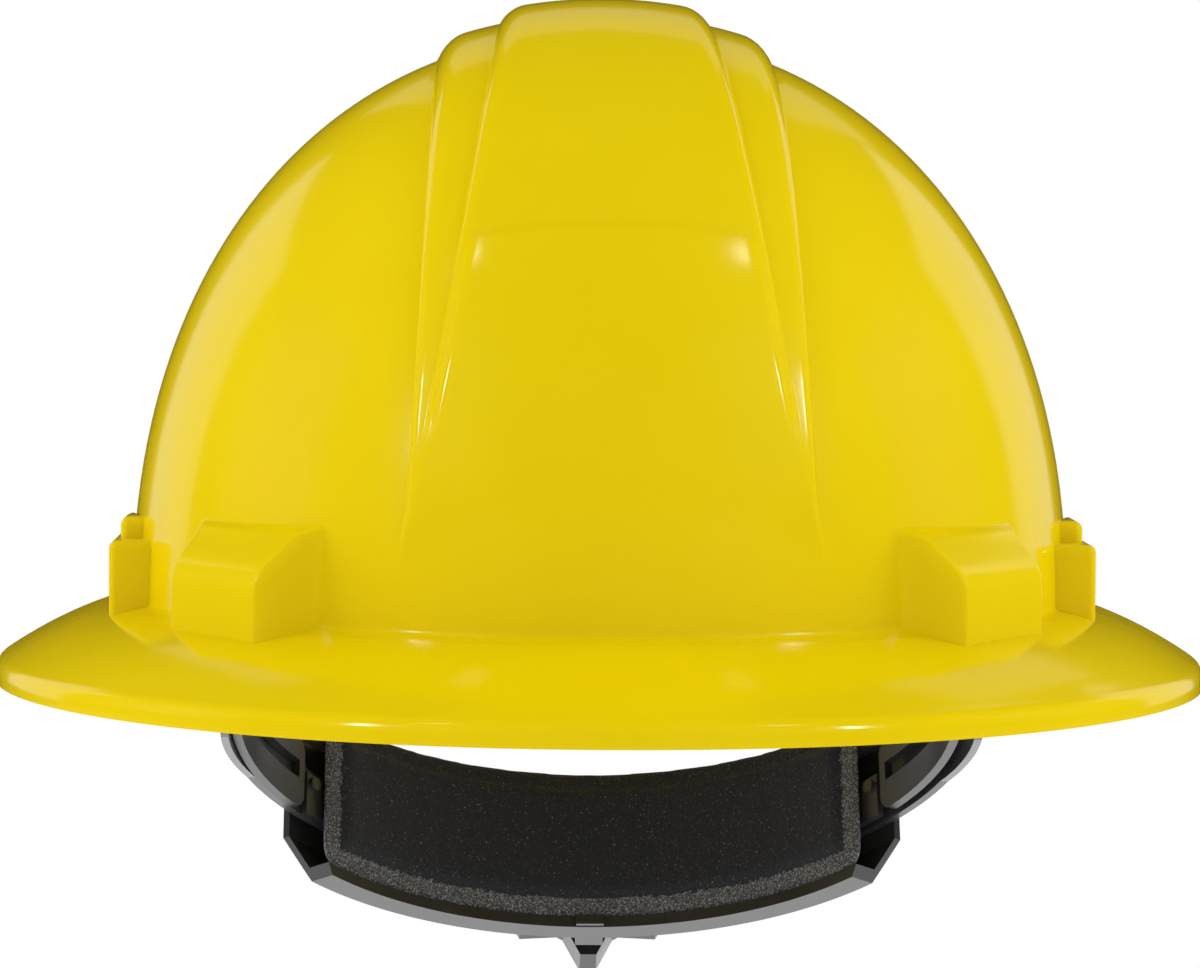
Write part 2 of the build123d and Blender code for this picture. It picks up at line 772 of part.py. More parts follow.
# The four keys: a plate with the strap's window and the stud's hole, a foot, and the pocket's blade
with BuildPart() as key:
    with BuildSketch(key_face_plane.offset(key_inner)):
        with Locations((0, (key_floor + key_top) / 2)):
            plate = Rectangle(key_width, key_top - key_floor)
        fillet(plate.vertices().sort_by(Axis.Y)[-2:], key_corner_radius)
    extrude(amount=key_thickness)
    with BuildSketch(key_plane.offset(key_floor)):
        with Locations(((key_inner + key_reach) / 2, 0)):
            Rectangle(key_reach - key_inner, key_foot_width)
    extrude(amount=key_foot_height)
    with BuildSketch(pocket_plane.offset(key_floor)):
        with Locations((-wall - pocket_slot_thickness / 2, 0)):
            Rectangle(pocket_slot_thickness - 2 * slot_clearance, pocket_slot_width - 2 * slot_clearance)
    extrude(amount=pocket_slot_top - sliding_gap - key_floor)
    with BuildSketch(key_face_plane.offset(key_inner)):
        with Locations((0, key_bar_floor - key_window_height / 2)):
            Rectangle(strap_width + 2 * strap_side_gap, key_window_height)
        with Locations((0, stud_height)):
            Circle(stud_radius + bearing_clearance)
    extrude(amount=key_thickness, mode=Mode.SUBTRACT)
for corner, piece in corners(key.part).items():
    save(piece, f"{corner}_key")

# The two crown straps, each looped round the bars of two opposite keys
under_strap = crown_strap(0)
over_strap = crown_strap(strap_thickness + strap_crossing_gap).mirror(Plane.YZ)
save(under_strap, "crown_strap_under")
save(over_strap, "crown_strap_over")

# The headband: brow, side plates, rear hangers, slotted tabs and the studs that hold the keys
inner_half_width = headband_half_width - headband_thickness
left_tab = arc_wall(tab_inner_radius, tab_outer_radius, 0, tab_end_angle, tab_floor, tab_top)
left_slot = arc_wall(
    tab_inner_radius - overrun,
    tab_outer_radius + overrun,
    post_angle - degrees((post_radius + strap_side_gap) / tab_inner_radius),
    post_slot_end_angle,
    post_height - post_radius - sliding_gap,
    post_height + post_radius + sliding_gap,
)
with BuildPart() as headband:
    with BuildSketch(Plane.XY.offset(headband_floor)):
        with Locations((0, ring_centre_back)):
            Ellipse(headband_half_width, headband_front_depth)
            Ellipse(inner_half_width, headband_front_depth - headband_thickness, mode=Mode.SUBTRACT)
        with Locations((0, ring_centre_back + headband_front_depth)):
            Rectangle(4 * headband_half_width, 2 * headband_front_depth, mode=Mode.SUBTRACT)
    extrude(amount=headband_top - headband_floor)
    with BuildSketch(Plane.XY.offset(hanger_floor)):
        with Locations((0, ring_centre_back)):
            Ellipse(headband_half_width, headband_rear_depth)
            Ellipse(inner_half_width, headband_rear_depth - headband_thickness, mode=Mode.SUBTRACT)
        with Locations((0, ring_centre_back + hanger_end_back / 2)):
            Rectangle(4 * headband_half_width, hanger_end_back, mode=Mode.INTERSECT)
    extrude(amount=hanger_top - hanger_floor)
    with BuildSketch(Plane.YZ.offset(inner_half_width - plate_step)):
        with Locations((ring_centre_back, (plate_floor + hanger_top) / 2)):
            side = Rectangle(2 * plate_half_length, hanger_top - plate_floor)
        fillet(side.vertices().sort_by(Axis.Y)[:2], plate_corner_radius)
    left_plate = extrude(amount=headband_thickness + 2 * plate_step)
    add(left_plate.mirror(Plane.YZ))
    add(left_tab)
    add(left_tab.mirror(Plane.YZ))
    for height in (tab_floor, tab_top):
        for angle in (tab_end_angle, 180 - tab_end_angle):
            spot = radial_plane(angle, (tab_inner_radius + tab_outer_radius) / 2, height).origin
            fillet(headband.edges().sort_by_distance(spot)[0], tab_corner_radius)
    add(left_slot, mode=Mode.SUBTRACT)
    add(left_slot.mirror(Plane.YZ), mode=Mode.SUBTRACT)
with BuildPart() as stud:
    with BuildSketch(key_face_plane.offset(stud_root)):
        with Locations((0, stud_height)):
            Circle(stud_radius)
    extrude(amount=key_outer + stud_end - stud_root)
band = headband.part
for piece in corners(stud.part).values():
    band = band + piece
save(band, "headband")

# The sweatband inside the brow
with BuildPart() as sweatband:
    sweatband_half_width = inner_half_width - sliding_gap
    inner_sweatband_half_width = sweatband_half_width - sweatband_thickness
    sweatband_depth = headband_front_depth - headband_thickness - sliding_gap
    with BuildSketch(Plane.XY.offset(sweatband_floor)):
        with Locations((0, ring_centre_back)):
            Ellipse(sweatband_half_width, sweatband_depth)
            Ellipse(inner_sweatband_half_width, sweatband_depth - sweatband_thickness, mode=Mode.SUBTRACT)
        with Locations((0, ring_centre_back - sweatband_end_forward + headband_front_depth)):
            Rectangle(4 * headband_half_width, 2 * headband_front_depth, mode=Mode.SUBTRACT)
    extrude(amount=sweatband_top - sweatband_floor)
save(sweatband.part, "brow_sweatband")

# The nape straps with their racks, and the posts that hold them to the headband's tabs
save(nape_strap(left_strap_radius, 1), "left_nape_strap")
save(nape_strap(right_strap_radius, -1).mirror(Plane.YZ), "right_nape_strap")
save(lap_post(left_strap_radius), "left_lap_post")
save(lap_post(right_strap_radius).mirror(Plane.YZ), "right_lap_post")

# The nape carrier: the channel that the straps slide in, with guide plates, skirt, lip and bearings
wall_start, wall_end = carrier_wall_start_angle, 180 - carrier_wall_start_angle
rib_start, rib_end = carrier_rib_start_angle, 180 - carrier_rib_start_angle
carrier_walls = [
    carrier_shell(),
    arc_wall(carrier_inner_radius, channel_inner_radius, wall_start, wall_end, carrier_floor, carrier_top),
    arc_wall(carrier_inner_radius, carrier_outer_radius, wall_start, wall_end, channel_top, carrier_top),
    arc_wall(carrier_inner_radius, carrier_outer_radius, rib_start, rib_end, rib_floor, channel_floor),
]
left_guide = arc_wall(
    carrier_inner_radius,
    channel_inner_radius,
    guide_start_angle,
    guide_end_angle,
    channel_floor,
    guide_top,
)
with BuildPart() as left_bump:
    bump_face = carrier_inner_radius - guide_bump_rise
    with BuildSketch(radial_plane(guide_bump_angle, bump_face, guide_bump_height)):
        Circle(guide_bump_radius)
    extrude(amount=guide_bump_rise + carrier_skin / 2)
with BuildPart() as end_slope:
    with BuildSketch(radial_plane(carrier_start_angle, carrier_lip_radius - overrun, carrier_floor)):
        with BuildLine():
            Polyline(
                (-overrun, end_slope_height),
                (0, end_slope_height),
                (end_slope_width, 0),
                (end_slope_width, -overrun),
                (-overrun, -overrun),
                close=True,
            )
        make_face()
    extrude(amount=carrier_outer_radius - carrier_lip_radius + 2 * overrun)
with BuildPart() as clip_notch:
    notch_floor = clip_top - clip_thickness - slot_clearance
    with BuildSketch(ring_side_plane):
        with Locations(((carrier_lip_radius + carrier_outer_radius) / 2, (notch_floor + lip_top) / 2)):
            Rectangle(carrier_outer_radius - carrier_lip_radius + overrun, lip_top - notch_floor)
    extrude(amount=clip_width / 2 + slot_clearance, both=True)
with BuildPart() as carrier:
    for piece in carrier_walls:
        add(piece)
    for piece in (left_guide, left_bump.part):
        add(piece)
        add(piece.mirror(Plane.YZ))
    boss_near, boss_far = screw_half_spacing - screw_boss_radius, screw_half_spacing + screw_boss_radius
    boss_floor = sqrt(carrier_inner_radius**2 - boss_near**2) + bearing_clearance
    boss_top = sqrt(carrier_outer_radius**2 - boss_far**2) - bearing_clearance
    with BuildSketch(knob_plane(boss_floor)):
        with Locations(*screw_spots):
            Circle(screw_boss_radius)
    extrude(amount=boss_top - boss_floor)
    with BuildSketch(knob_plane(screw_seat)):
        with Locations(*screw_spots):
            Circle(screw_radius + bearing_clearance)
    extrude(amount=-screw_length - sliding_gap, mode=Mode.SUBTRACT)
    with BuildSketch(knob_plane(pinion_face)):
        Circle(shaft_radius + bearing_clearance)
    extrude(amount=cover_inner_radius - pinion_face, mode=Mode.SUBTRACT)
    with BuildSketch(knob_plane(pinion_floor)):
        Circle(spigot_radius + bearing_clearance)
    extrude(amount=-channel_inner_radius + carrier_inner_radius - overrun, mode=Mode.SUBTRACT)
    for cutter in (end_slope.part, end_slope.part.mirror(Plane.YZ), clip_notch.part):
        add(cutter, mode=Mode.SUBTRACT)
save(carrier.part, "nape_carrier")

# The nape pad: a thin border round a raised cushion
pad_border_radius = pad_outer_radius - pad_border_thickness
cushion_start = pad_start_angle + degrees(pad_border / pad_outer_radius)
cushion_half_height = pad_half_height - pad_border
border = arc_wall(
    pad_border_radius,
    pad_outer_radius,
    pad_start_angle,
    180 - pad_start_angle,
    -pad_half_height,
    pad_half_height,
)
cushion = arc_wall(
    pad_inner_radius,
    pad_outer_radius,
    cushion_start,
    180 - cushion_start,
    -cushion_half_height,
    cushion_half_height,
)
border_middle = (pad_border_radius + pad_outer_radius) / 2
cushion_middle = (pad_inner_radius + pad_outer_radius) / 2
border = round_corners(border, pad_start_angle, border_middle, pad_half_height)
cushion = round_corners(cushion, cushion_start, cushion_middle, cushion_half_height)
with BuildPart() as pad:
    add(border)
    add(cushion)
save(pad.part, "nape_pad")

# The ratchet's cover, with the detent's pocket and the clip through the notch in the carrier's lip
with BuildPart() as cover:
    with BuildSketch(knob_plane(cover_face - cover_depth)):
        RectangleRounded(cover_width, cover_height, cover_corner_radius)
    extrude(amount=cover_depth)
    fillet(edges_at(cover, cover_face), cover_edge_radius)
    with BuildSketch(ring_plane.offset(carrier_floor)):
        Circle(cover_inner_radius)
    extrude(amount=carrier_top - carrier_floor, mode=Mode.SUBTRACT)
    with BuildSketch(knob_plane(cover_face)):
        Polygon(*detent_outline(), align=None)
    extrude(amount=-detent_depth, mode=Mode.SUBTRACT)
    with BuildSketch(knob_plane(cover_face)):
        Circle(shaft_radius + bearing_clearance)
        with Locations(*screw_spots):
            Circle(screw_radius + bearing_clearance)
    extrude(amount=-cover_depth, mode=Mode.SUBTRACT)
    with BuildSketch(knob_plane(cover_face)):
        with Locations(*screw_spots):
            Circle(screw_head_radius + slot_clearance)
    extrude(amount=-screw_recess, mode=Mode.SUBTRACT)
    with BuildSketch(ring_side_plane):
        Polygon(*clip_outline(), align=None)
    extrude(amount=clip_width / 2, both=True)
save(cover.part, "ratchet_cover")

# The two screws that hold the cover on the carrier
for name, spot in zip(("left_cover_screw", "right_cover_screw"), screw_spots):
    with BuildPart() as screw:
        with BuildSketch(knob_plane(screw_seat)):
            with Locations(spot):
                Circle(screw_head_radius)
        extrude(amount=screw_head_height)
        with BuildSketch(knob_plane(screw_seat)):
            with Locations(spot):
                Circle(screw_radius)
        extrude(amount=-screw_length)
        with BuildSketch(knob_plane(screw_seat + screw_head_height)):
            with Locations(spot):
                RegularPolygon(screw_drive_radius, 6)
        extrude(amount=-screw_drive_depth, mode=Mode.SUBTRACT)
    save(screw.part, name)

# The pinion on its shaft
with BuildPart() as pinion:
    with BuildSketch(knob_plane(pinion_floor)):
        Polygon(*pinion_outline(), align=None)
    extrude(amount=pinion_face - pinion_floor)
    with BuildSketch(knob_plane(pinion_floor)):
        Circle(spigot_radius)
    extrude(amount=-spigot_length)
    with BuildSketch(knob_plane(pinion_face)):
        Circle(shaft_radius)
    extrude(amount=click_floor - pinion_face)
    with BuildSketch(knob_plane(click_floor)):
        add(shaft_profile(0))
    extrude(amount=cap_seat - slot_clearance - click_floor)
    with BuildSketch(knob_plane(cap_seat)):
        Circle(cap_screw_radius)
    extrude(amount=-cap_screw_length - sliding_gap, mode=Mode.SUBTRACT)
save(pinion.part, "pinion")

# The click spring between the cover's detent and the knob
with BuildPart() as click_spring:
    with BuildSketch(knob_plane(click_floor)):
        Circle(click_hub_radius)
        for arm in range(click_arm_count):
            turn = 360 * arm / click_arm_count
            with Locations(Location((0, 0, 0), (0, 0, turn))):
                with Locations((click_arm_reach / 2, click_arm_offset)):
                    Rectangle(click_arm_reach, click_arm_width)
                with Locations((click_arm_reach, click_arm_offset)):
                    Circle(click_nub_radius)
        add(shaft_profile(bearing_clearance), mode=Mode.SUBTRACT)
    extrude(amount=click_thickness)
save(click_spring.part, "click_spring")

# The knob with its tapered lobes
with BuildPart() as knob:
    with BuildSketch(knob_plane(knob_back)):
        Circle(knob_core_radius)
        for lobe in range(knob_lobe_count):
            with Locations(Location((0, 0, 0), (0, 0, 360 * lobe / knob_lobe_count))):
                Polygon(*lobe_outline(), align=None)
    extrude(amount=knob_height)
    chamfer(edges_at(knob, knob_face), knob_chamfer)
    with BuildSketch(knob_plane(hub_floor)):
        Circle(knob_hub_radius)
    extrude(amount=knob_back - hub_floor)
    with BuildSketch(knob_plane(cap_seat)):
        Circle(knob_recess_radius)
    extrude(amount=knob_recess_depth, mode=Mode.SUBTRACT)
    with BuildSketch(knob_plane(hub_floor)):
        add(shaft_profile(bearing_clearance))
    extrude(amount=cap_seat - hub_floor, mode=Mode.SUBTRACT)
save(knob.part, "ratchet_knob")

# The cap that closes the knob, with its screw
with BuildPart() as knob_cap:
    with BuildSketch(knob_plane(cap_seat)):
        Circle(cap_radius)
    extrude(amount=cap_thickness)
    with BuildSketch(knob_plane(cap_seat)):
        Circle(cap_screw_radius)
    extrude(amount=-cap_screw_length)
save(knob_cap.part, "knob_cap")
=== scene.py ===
# %% [markdown]
# # A full brim hard hat
# The hat is one glossy yellow moulding, and under it hangs a dark suspension: keys, webbing, a headband,
# two nape straps and a ratchet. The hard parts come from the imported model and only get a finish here. The
# shell is modelled again as one smooth mesh with the pockets and blocks set on it, and the soft parts are
# modelled as foam, cloth and webbing.

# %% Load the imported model
from math import asin, atan2, cos, hypot, pi, radians, sin, sqrt

import bmesh
import bpy
import numpy as np
from mathutils import Matrix, Vector


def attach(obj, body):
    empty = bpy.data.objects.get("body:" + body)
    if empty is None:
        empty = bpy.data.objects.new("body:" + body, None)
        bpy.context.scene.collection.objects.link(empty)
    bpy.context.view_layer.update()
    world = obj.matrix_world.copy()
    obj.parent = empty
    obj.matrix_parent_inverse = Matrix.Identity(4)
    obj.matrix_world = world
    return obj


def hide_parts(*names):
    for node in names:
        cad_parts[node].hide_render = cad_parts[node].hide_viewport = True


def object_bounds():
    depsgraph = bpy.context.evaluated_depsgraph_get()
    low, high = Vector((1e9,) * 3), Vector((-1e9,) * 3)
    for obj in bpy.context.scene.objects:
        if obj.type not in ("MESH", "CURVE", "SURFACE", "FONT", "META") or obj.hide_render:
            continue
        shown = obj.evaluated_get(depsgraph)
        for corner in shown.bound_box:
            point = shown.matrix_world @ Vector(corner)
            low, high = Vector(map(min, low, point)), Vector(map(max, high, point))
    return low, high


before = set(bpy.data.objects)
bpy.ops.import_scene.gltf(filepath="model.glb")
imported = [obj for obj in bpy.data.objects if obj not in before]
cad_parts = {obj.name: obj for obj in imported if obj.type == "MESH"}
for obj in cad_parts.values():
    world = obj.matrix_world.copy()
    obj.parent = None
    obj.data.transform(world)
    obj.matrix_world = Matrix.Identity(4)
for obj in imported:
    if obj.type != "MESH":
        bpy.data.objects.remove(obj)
cad_box = [[float(c) for c in corner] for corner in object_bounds()]
MM = 0.001
print("nodes", len(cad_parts), "box", cad_box)

# %% [markdown]
# ## Camera
# The hat is seen from the front, a little from above, from about 1.2 m with a long lens. The lens and the
# place of the camera are found from the brim's width and from how far the front of the dome sits to the
# right of the rear.

# %% Camera
camera_distance, camera_height = 1.2, 0.115
camera_turn, camera_roll = radians(1.43), radians(0.38)
focal_pixels, image_width, sensor_width = 5035, 1200, 36.0
aim = Vector((0, 0, 0.0457))
camera_place = Vector(
    (-camera_distance * sin(camera_turn), -camera_distance * cos(camera_turn), camera_height)
)
camera_data = bpy.data.cameras.new("camera")
camera_data.lens = sensor_width * focal_pixels / image_width
camera_data.sensor_width = sensor_width
camera = bpy.data.objects.new("camera", camera_data)
bpy.context.collection.objects.link(camera)
look = (aim - camera_place).to_track_quat("-Z", "Y").to_matrix().to_4x4()
camera.matrix_world = Matrix.Translation(camera_place) @ look @ Matrix.Rotation(camera_roll, 4, "Z")
bpy.context.scene.camera = camera
print("lens", round(camera_data.lens, 1))

# %% [markdown]
# ## Floor and light
# The photograph is a cut-out on pure white, and its light is soft and even. The five fill lamps at the
# front, the sides and the rear are left out of reflections, and the room is nearly black in them, so that
# the yellow stays clean. What the gloss shows is a few lamps of its own: two strips beside and behind the
# hat draw the pale bands along its sides, two narrow glints light the crest's foot and the brim's root,
# two small boxes above light the panel's upper edge, and a faint box stands at the rear. The floor is
# white to the camera and brighter than white in reflections, and to soft light it is a pale disc, which
# greys the dark parts.

# %% World
room_colour, room_strength = (0.95, 0.97, 1.0, 1), 0.72
white_colour = (1, 1, 1, 1)
mirrored_room, mirrored_floor = 0.01, 2.2
floor_fade_start, floor_fade_end = -0.3, -0.6
scene = bpy.context.scene
scene.view_settings.view_transform = "Standard"
world = bpy.data.worlds.new("studio")
scene.world = world
world.use_nodes = True
nodes, links = world.node_tree.nodes, world.node_tree.links
ray = nodes.new("ShaderNodeLightPath")
room = nodes["Background"]
room.inputs["Color"].default_value = room_colour
room.inputs["Strength"].default_value = room_strength
dim = nodes.new("ShaderNodeBackground")
dim.inputs["Color"].default_value = white_colour
place = nodes.new("ShaderNodeTexCoord")
height = nodes.new("ShaderNodeSeparateXYZ")
from_below = nodes.new("ShaderNodeMapRange")
from_below.inputs["From Min"].default_value = floor_fade_start
from_below.inputs["From Max"].default_value = floor_fade_end
from_below.inputs["To Min"].default_value = mirrored_room
from_below.inputs["To Max"].default_value = mirrored_floor
links.new(place.outputs["Generated"], height.inputs["Vector"])
links.new(height.outputs["Z"], from_below.inputs["Value"])
links.new(from_below.outputs["Result"], dim.inputs["Strength"])
white = nodes.new("ShaderNodeBackground")
white.inputs["Color"].default_value = white_colour
shown, mirrored = nodes.new("ShaderNodeMixShader"), nodes.new("ShaderNodeMixShader")
links.new(ray.outputs["Is Glossy Ray"], mirrored.inputs["Fac"])
links.new(room.outputs[0], mirrored.inputs[1])
links.new(dim.outputs[0], mirrored.inputs[2])
links.new(ray.outputs["Is Camera Ray"], shown.inputs["Fac"])
links.new(mirrored.outputs[0], shown.inputs[1])
links.new(white.outputs[0], shown.inputs[2])
links.new(shown.outputs[0], nodes["World Output"].inputs["Surface"])
print("room strength", room_strength)

# %% Floor
floor_radius, floor_segments, floor_gap = 0.75, 64, 0.001
floor_mesh = bpy.data.meshes.new("floor")
bm = bmesh.new()
bmesh.ops.create_circle(bm, cap_ends=True, segments=floor_segments, radius=floor_radius)
bmesh.ops.translate(bm, verts=bm.verts, vec=(0, 0, cad_box[0][2] - floor_gap))
bm.to_mesh(floor_mesh)
bm.free()
floor = bpy.data.objects.new("floor", floor_mesh)
bpy.context.collection.objects.link(floor)
floor_finish = bpy.data.materials.new("floor")
floor_finish.use_nodes = True
nodes, links = floor_finish.node_tree.nodes, floor_finish.node_tree.links
nodes["Principled BSDF"].inputs["Base Color"].default_value = (0.9, 0.9, 0.9, 1)
nodes["Principled BSDF"].inputs["Roughness"].default_value = 0.8
glow = nodes.new("ShaderNodeEmission")
only_seen = nodes.new("ShaderNodeMixShader")
ray = nodes.new("ShaderNodeLightPath")
either = nodes.new("ShaderNodeMath")
either.operation = "MAXIMUM"
brighter = nodes.new("ShaderNodeMath")
brighter.operation = "MULTIPLY_ADD"
brighter.inputs[1].default_value, brighter.inputs[2].default_value = mirrored_floor - 1.0, 1.0
links.new(ray.outputs["Is Glossy Ray"], brighter.inputs[0])
links.new(brighter.outputs[0], glow.inputs["Strength"])
links.new(ray.outputs["Is Camera Ray"], either.inputs[0])
links.new(ray.outputs["Is Glossy Ray"], either.inputs[1])
links.new(either.outputs[0], only_seen.inputs["Fac"])
links.new(nodes["Principled BSDF"].outputs[0], only_seen.inputs[1])
links.new(glow.outputs[0], only_seen.inputs[2])
links.new(only_seen.outputs[0], nodes["Material Output"].inputs["Surface"])
floor.data.materials.append(floor_finish)
print("floor", floor_gap, "m under the hat")

# %% Lamps
hat_middle = Vector((0, 0, 0.07))


def soft_box(name, place, size, power, mirrored=True):
    """A rectangular lamp that points at the hat, and that may be left out of reflections."""
    lamp = bpy.data.lights.new(name, "AREA")
    lamp.shape, lamp.size, lamp.size_y, lamp.energy = "RECTANGLE", size[0], size[1], power
    box = bpy.data.objects.new(name, lamp)
    bpy.context.collection.objects.link(box)
    box.location = place
    box.rotation_euler = (hat_middle - Vector(place)).to_track_quat("-Z", "Y").to_euler()
    box.visible_glossy = mirrored


for kind, (out, back, up), size, power, mirrored_too in (
    ("fill", (1.2, -1.3, 0.8), (1.0, 1.0), 3.4, False),
    ("side fill", (1.5, 0.1, 0.5), (0.8, 0.8), 8.5, False),
    ("strip", (1.3, 1.35, 0.45), (0.9, 1.2), 1.9, True),
    ("glint", (1.19, -1.0, 0.72), (0.08, 0.3), 3.0, True),
    ("top box", (0.75, -0.75, 1.35), (0.1, 0.1), 0.35, True),
):
    soft_box("left " + kind, (-out, back, up), size, power, mirrored_too)
    soft_box("right " + kind, (out, back, up), size, power, mirrored_too)
soft_box("rear box", (0.1, 1.4, 1.1), (1.4, 0.6), 0.7)
soft_box("rear fill", (0.1, 1.5, 1.2), (1.4, 0.6), 3.8, False)
print("lamps", len(bpy.data.lights))

# %% [markdown]
# ## Finishes
# Every finish is built from the same few nodes: noise in object coordinates, so that it stays on the
# piece, a small change of colour, a change of roughness, and a bump. What differs is the scale. Moulded
# plastic has a fine grain of a few tenths of a millimetre, and a glossy moulding has only a slow wave in
# its surface.


# %% Helpers for a finish
def finish_nodes(name):
    """A new material with its nodes and links."""
    material = bpy.data.materials.new(name)
    material.use_nodes = True
    return material, material.node_tree.nodes, material.node_tree.links


def ramp_between(nodes, links, source, low, high, colours):
    """A ramp from one colour to another as the source goes from low to high."""
    ramp = nodes.new("ShaderNodeValToRGB")
    ramp.color_ramp.elements[0].position, ramp.color_ramp.elements[1].position = low, high
    for element, colour in zip(ramp.color_ramp.elements, colours):
        element.color = (*colour, 1)
    links.new(source, ramp.inputs["Fac"])
    return ramp.outputs["Color"]


def set_surface(material, values):
    """Gives some inputs of a finish's surface other values than Blender's."""
    for socket, value in values.items():
        material.node_tree.nodes["Principled BSDF"].inputs[socket].default_value = value


# %% A helper for moulded plastic
noise_low, noise_high, grain_strength = 0.3, 0.7, 0.5


def moulded(name, dark, light, roughness, grain_per_metre, grain_depth, wave_per_metre=60, worn=0.08):
    """Moulded plastic: two close colours, a fine grain and a slow change of gloss."""
    material, nodes, links = finish_nodes(name)
    surface = nodes["Principled BSDF"]
    place = nodes.new("ShaderNodeTexCoord")
    wave, grain = nodes.new("ShaderNodeTexNoise"), nodes.new("ShaderNodeTexNoise")
    wave.inputs["Scale"].default_value, wave.inputs["Detail"].default_value = wave_per_metre, 4
    grain.inputs["Scale"].default_value, grain.inputs["Detail"].default_value = grain_per_metre, 3
    for noise in (wave, grain):
        links.new(place.outputs["Object"], noise.inputs["Vector"])
    colour = ramp_between(nodes, links, wave.outputs["Fac"], noise_low, noise_high, (dark, light))
    links.new(colour, surface.inputs["Base Color"])
    gloss = nodes.new("ShaderNodeMapRange")
    gloss.inputs["From Min"].default_value, gloss.inputs["From Max"].default_value = noise_low, noise_high
    gloss.inputs["To Min"].default_value, gloss.inputs["To Max"].default_value = roughness, roughness + worn
    links.new(wave.outputs["Fac"], gloss.inputs["Value"])
    links.new(gloss.outputs["Result"], surface.inputs["Roughness"])
    bump = nodes.new("ShaderNodeBump")
    bump.inputs["Strength"].default_value = grain_strength
    bump.inputs["Distance"].default_value = grain_depth
    links.new(grain.outputs["Fac"], bump.inputs["Height"])
    links.new(bump.outputs["Normal"], surface.inputs["Normal"])
    return material


# %% Plastic and steel finishes
yellow_dark, yellow_light = (0.72, 0.525, 0.0004), (0.745, 0.545, 0.0006)
shell_finish = moulded(
    "yellow moulding", yellow_dark, yellow_light, 0.11, 260, 0.00002, wave_per_metre=25, worn=0.03
)
set_surface(shell_finish, {"Coat Weight": 0.04, "Coat Roughness": 0.08, "Specular IOR Level": 0.34})
charcoal_dark, charcoal_light = (0.03, 0.0305, 0.032), (0.042, 0.0425, 0.044)
suspension_finish = moulded("charcoal moulding", charcoal_dark, charcoal_light, 0.28, 2600, 0.00003)
rack_finish = moulded("smooth dark plastic", (0.06, 0.061, 0.063), (0.075, 0.076, 0.078), 0.24, 1500, 0.00002)
knob_finish = moulded("knob plastic", (0.02, 0.0205, 0.022), (0.028, 0.0285, 0.03), 0.36, 2600, 0.00003)
set_surface(knob_finish, {"Specular IOR Level": 0.3})
gear_finish = moulded("gear plastic", (0.035, 0.036, 0.038), (0.05, 0.051, 0.054), 0.34, 1800, 0.00003)
spring_finish = moulded("natural plastic", (0.30, 0.29, 0.26), (0.36, 0.35, 0.32), 0.38, 1500, 0.00003)
steel_finish = moulded("dark plated steel", (0.13, 0.132, 0.138), (0.17, 0.172, 0.178), 0.34, 3000, 0.00002)
set_surface(steel_finish, {"Metallic": 1.0})
print("plastic finishes", len(bpy.data.materials))

# %% [markdown]
# ## Cloth finishes
# The sweatband and the nape pad are foam faced with a brushed cloth. It is nearly black, with pale flecks
# of fibre, and it shows a soft sheen at grazing angles. The border is pressed hard, so there the flecks
# are denser.

# %% A helper for brushed cloth
fleck_edge = 0.16
nap_per_metre, nap_strength, nap_depth = 1500, 0.7, 0.00025


def brushed_cloth(name, dark, fleck, fleck_share, flecks_per_metre=1600):
    """Foam-backed cloth: dark fibres with pale flecks, a fine nap and sheen."""
    material, nodes, links = finish_nodes(name)
    surface = nodes["Principled BSDF"]
    place = nodes.new("ShaderNodeTexCoord")
    flecks, nap = nodes.new("ShaderNodeTexNoise"), nodes.new("ShaderNodeTexVoronoi")
    flecks.inputs["Scale"].default_value, flecks.inputs["Detail"].default_value = flecks_per_metre, 5
    flecks.inputs["Roughness"].default_value = 0.75
    nap.inputs["Scale"].default_value = nap_per_metre
    for texture in (flecks, nap):
        links.new(place.outputs["Object"], texture.inputs["Vector"])
    fleck_end = fleck_share + fleck_edge
    colour = ramp_between(nodes, links, flecks.outputs["Fac"], fleck_share, fleck_end, (dark, fleck))
    links.new(colour, surface.inputs["Base Color"])
    set_surface(material, {"Roughness": 0.9, "Sheen Weight": 0.12, "Sheen Roughness": 0.5})
    bump = nodes.new("ShaderNodeBump")
    bump.inputs["Strength"].default_value, bump.inputs["Distance"].default_value = nap_strength, nap_depth
    links.new(nap.outputs["Distance"], bump.inputs["Height"])
    links.new(bump.outputs["Normal"], surface.inputs["Normal"])
    return material


pad_finish = brushed_cloth("nape pad cloth", (0.0125, 0.014, 0.0185), (0.5, 0.51, 0.54), 0.6)
border_finish = brushed_cloth("pressed border", (0.055, 0.0575, 0.065), (0.5, 0.51, 0.54), 0.49, 2100)
sweatband_finish = brushed_cloth("sweatband cloth", (0.013, 0.0135, 0.015), (0.10, 0.10, 0.11), 0.58)
print("cloth finishes are ready")

# %% [markdown]
# ## Building a shell from a grid
# The dome carries a crest of two stepped bars that narrow towards the top, so a plain sphere has no edge
# lines where the steps are. A grid does better: its rows fan from front to rear about the ear-to-ear
# axis, and its columns are packed where the steps run. Each point then slides out along its row until it
# meets the skin of the hat.

# %% Sizes of the dome and the crest, in millimetres
dome_half_width, dome_half_length, dome_rise, dome_base, dome_power = 111.0, 121.0, 135.0, 18.0, 2.15
wall = 2.5
foot_height = 20.9
inner_half, inner_flare, inner_rise = 25.5, 26.0, 8.0
outer_half, outer_flare, outer_rise = 39.6, 7.0, 4.6
crest_foot, crest_sink = radians(10), 1.2
swell_power, sink_power, corner_power = 1.5, 16, 4
front_radius, top_radius = 1.6, 7.0
panel_margin, panel_rise, panel_sink = 1.4, 0.9, 0.6
panel_top, panel_foot, panel_fade = radians(41), radians(16), radians(12)
touching = 0.001


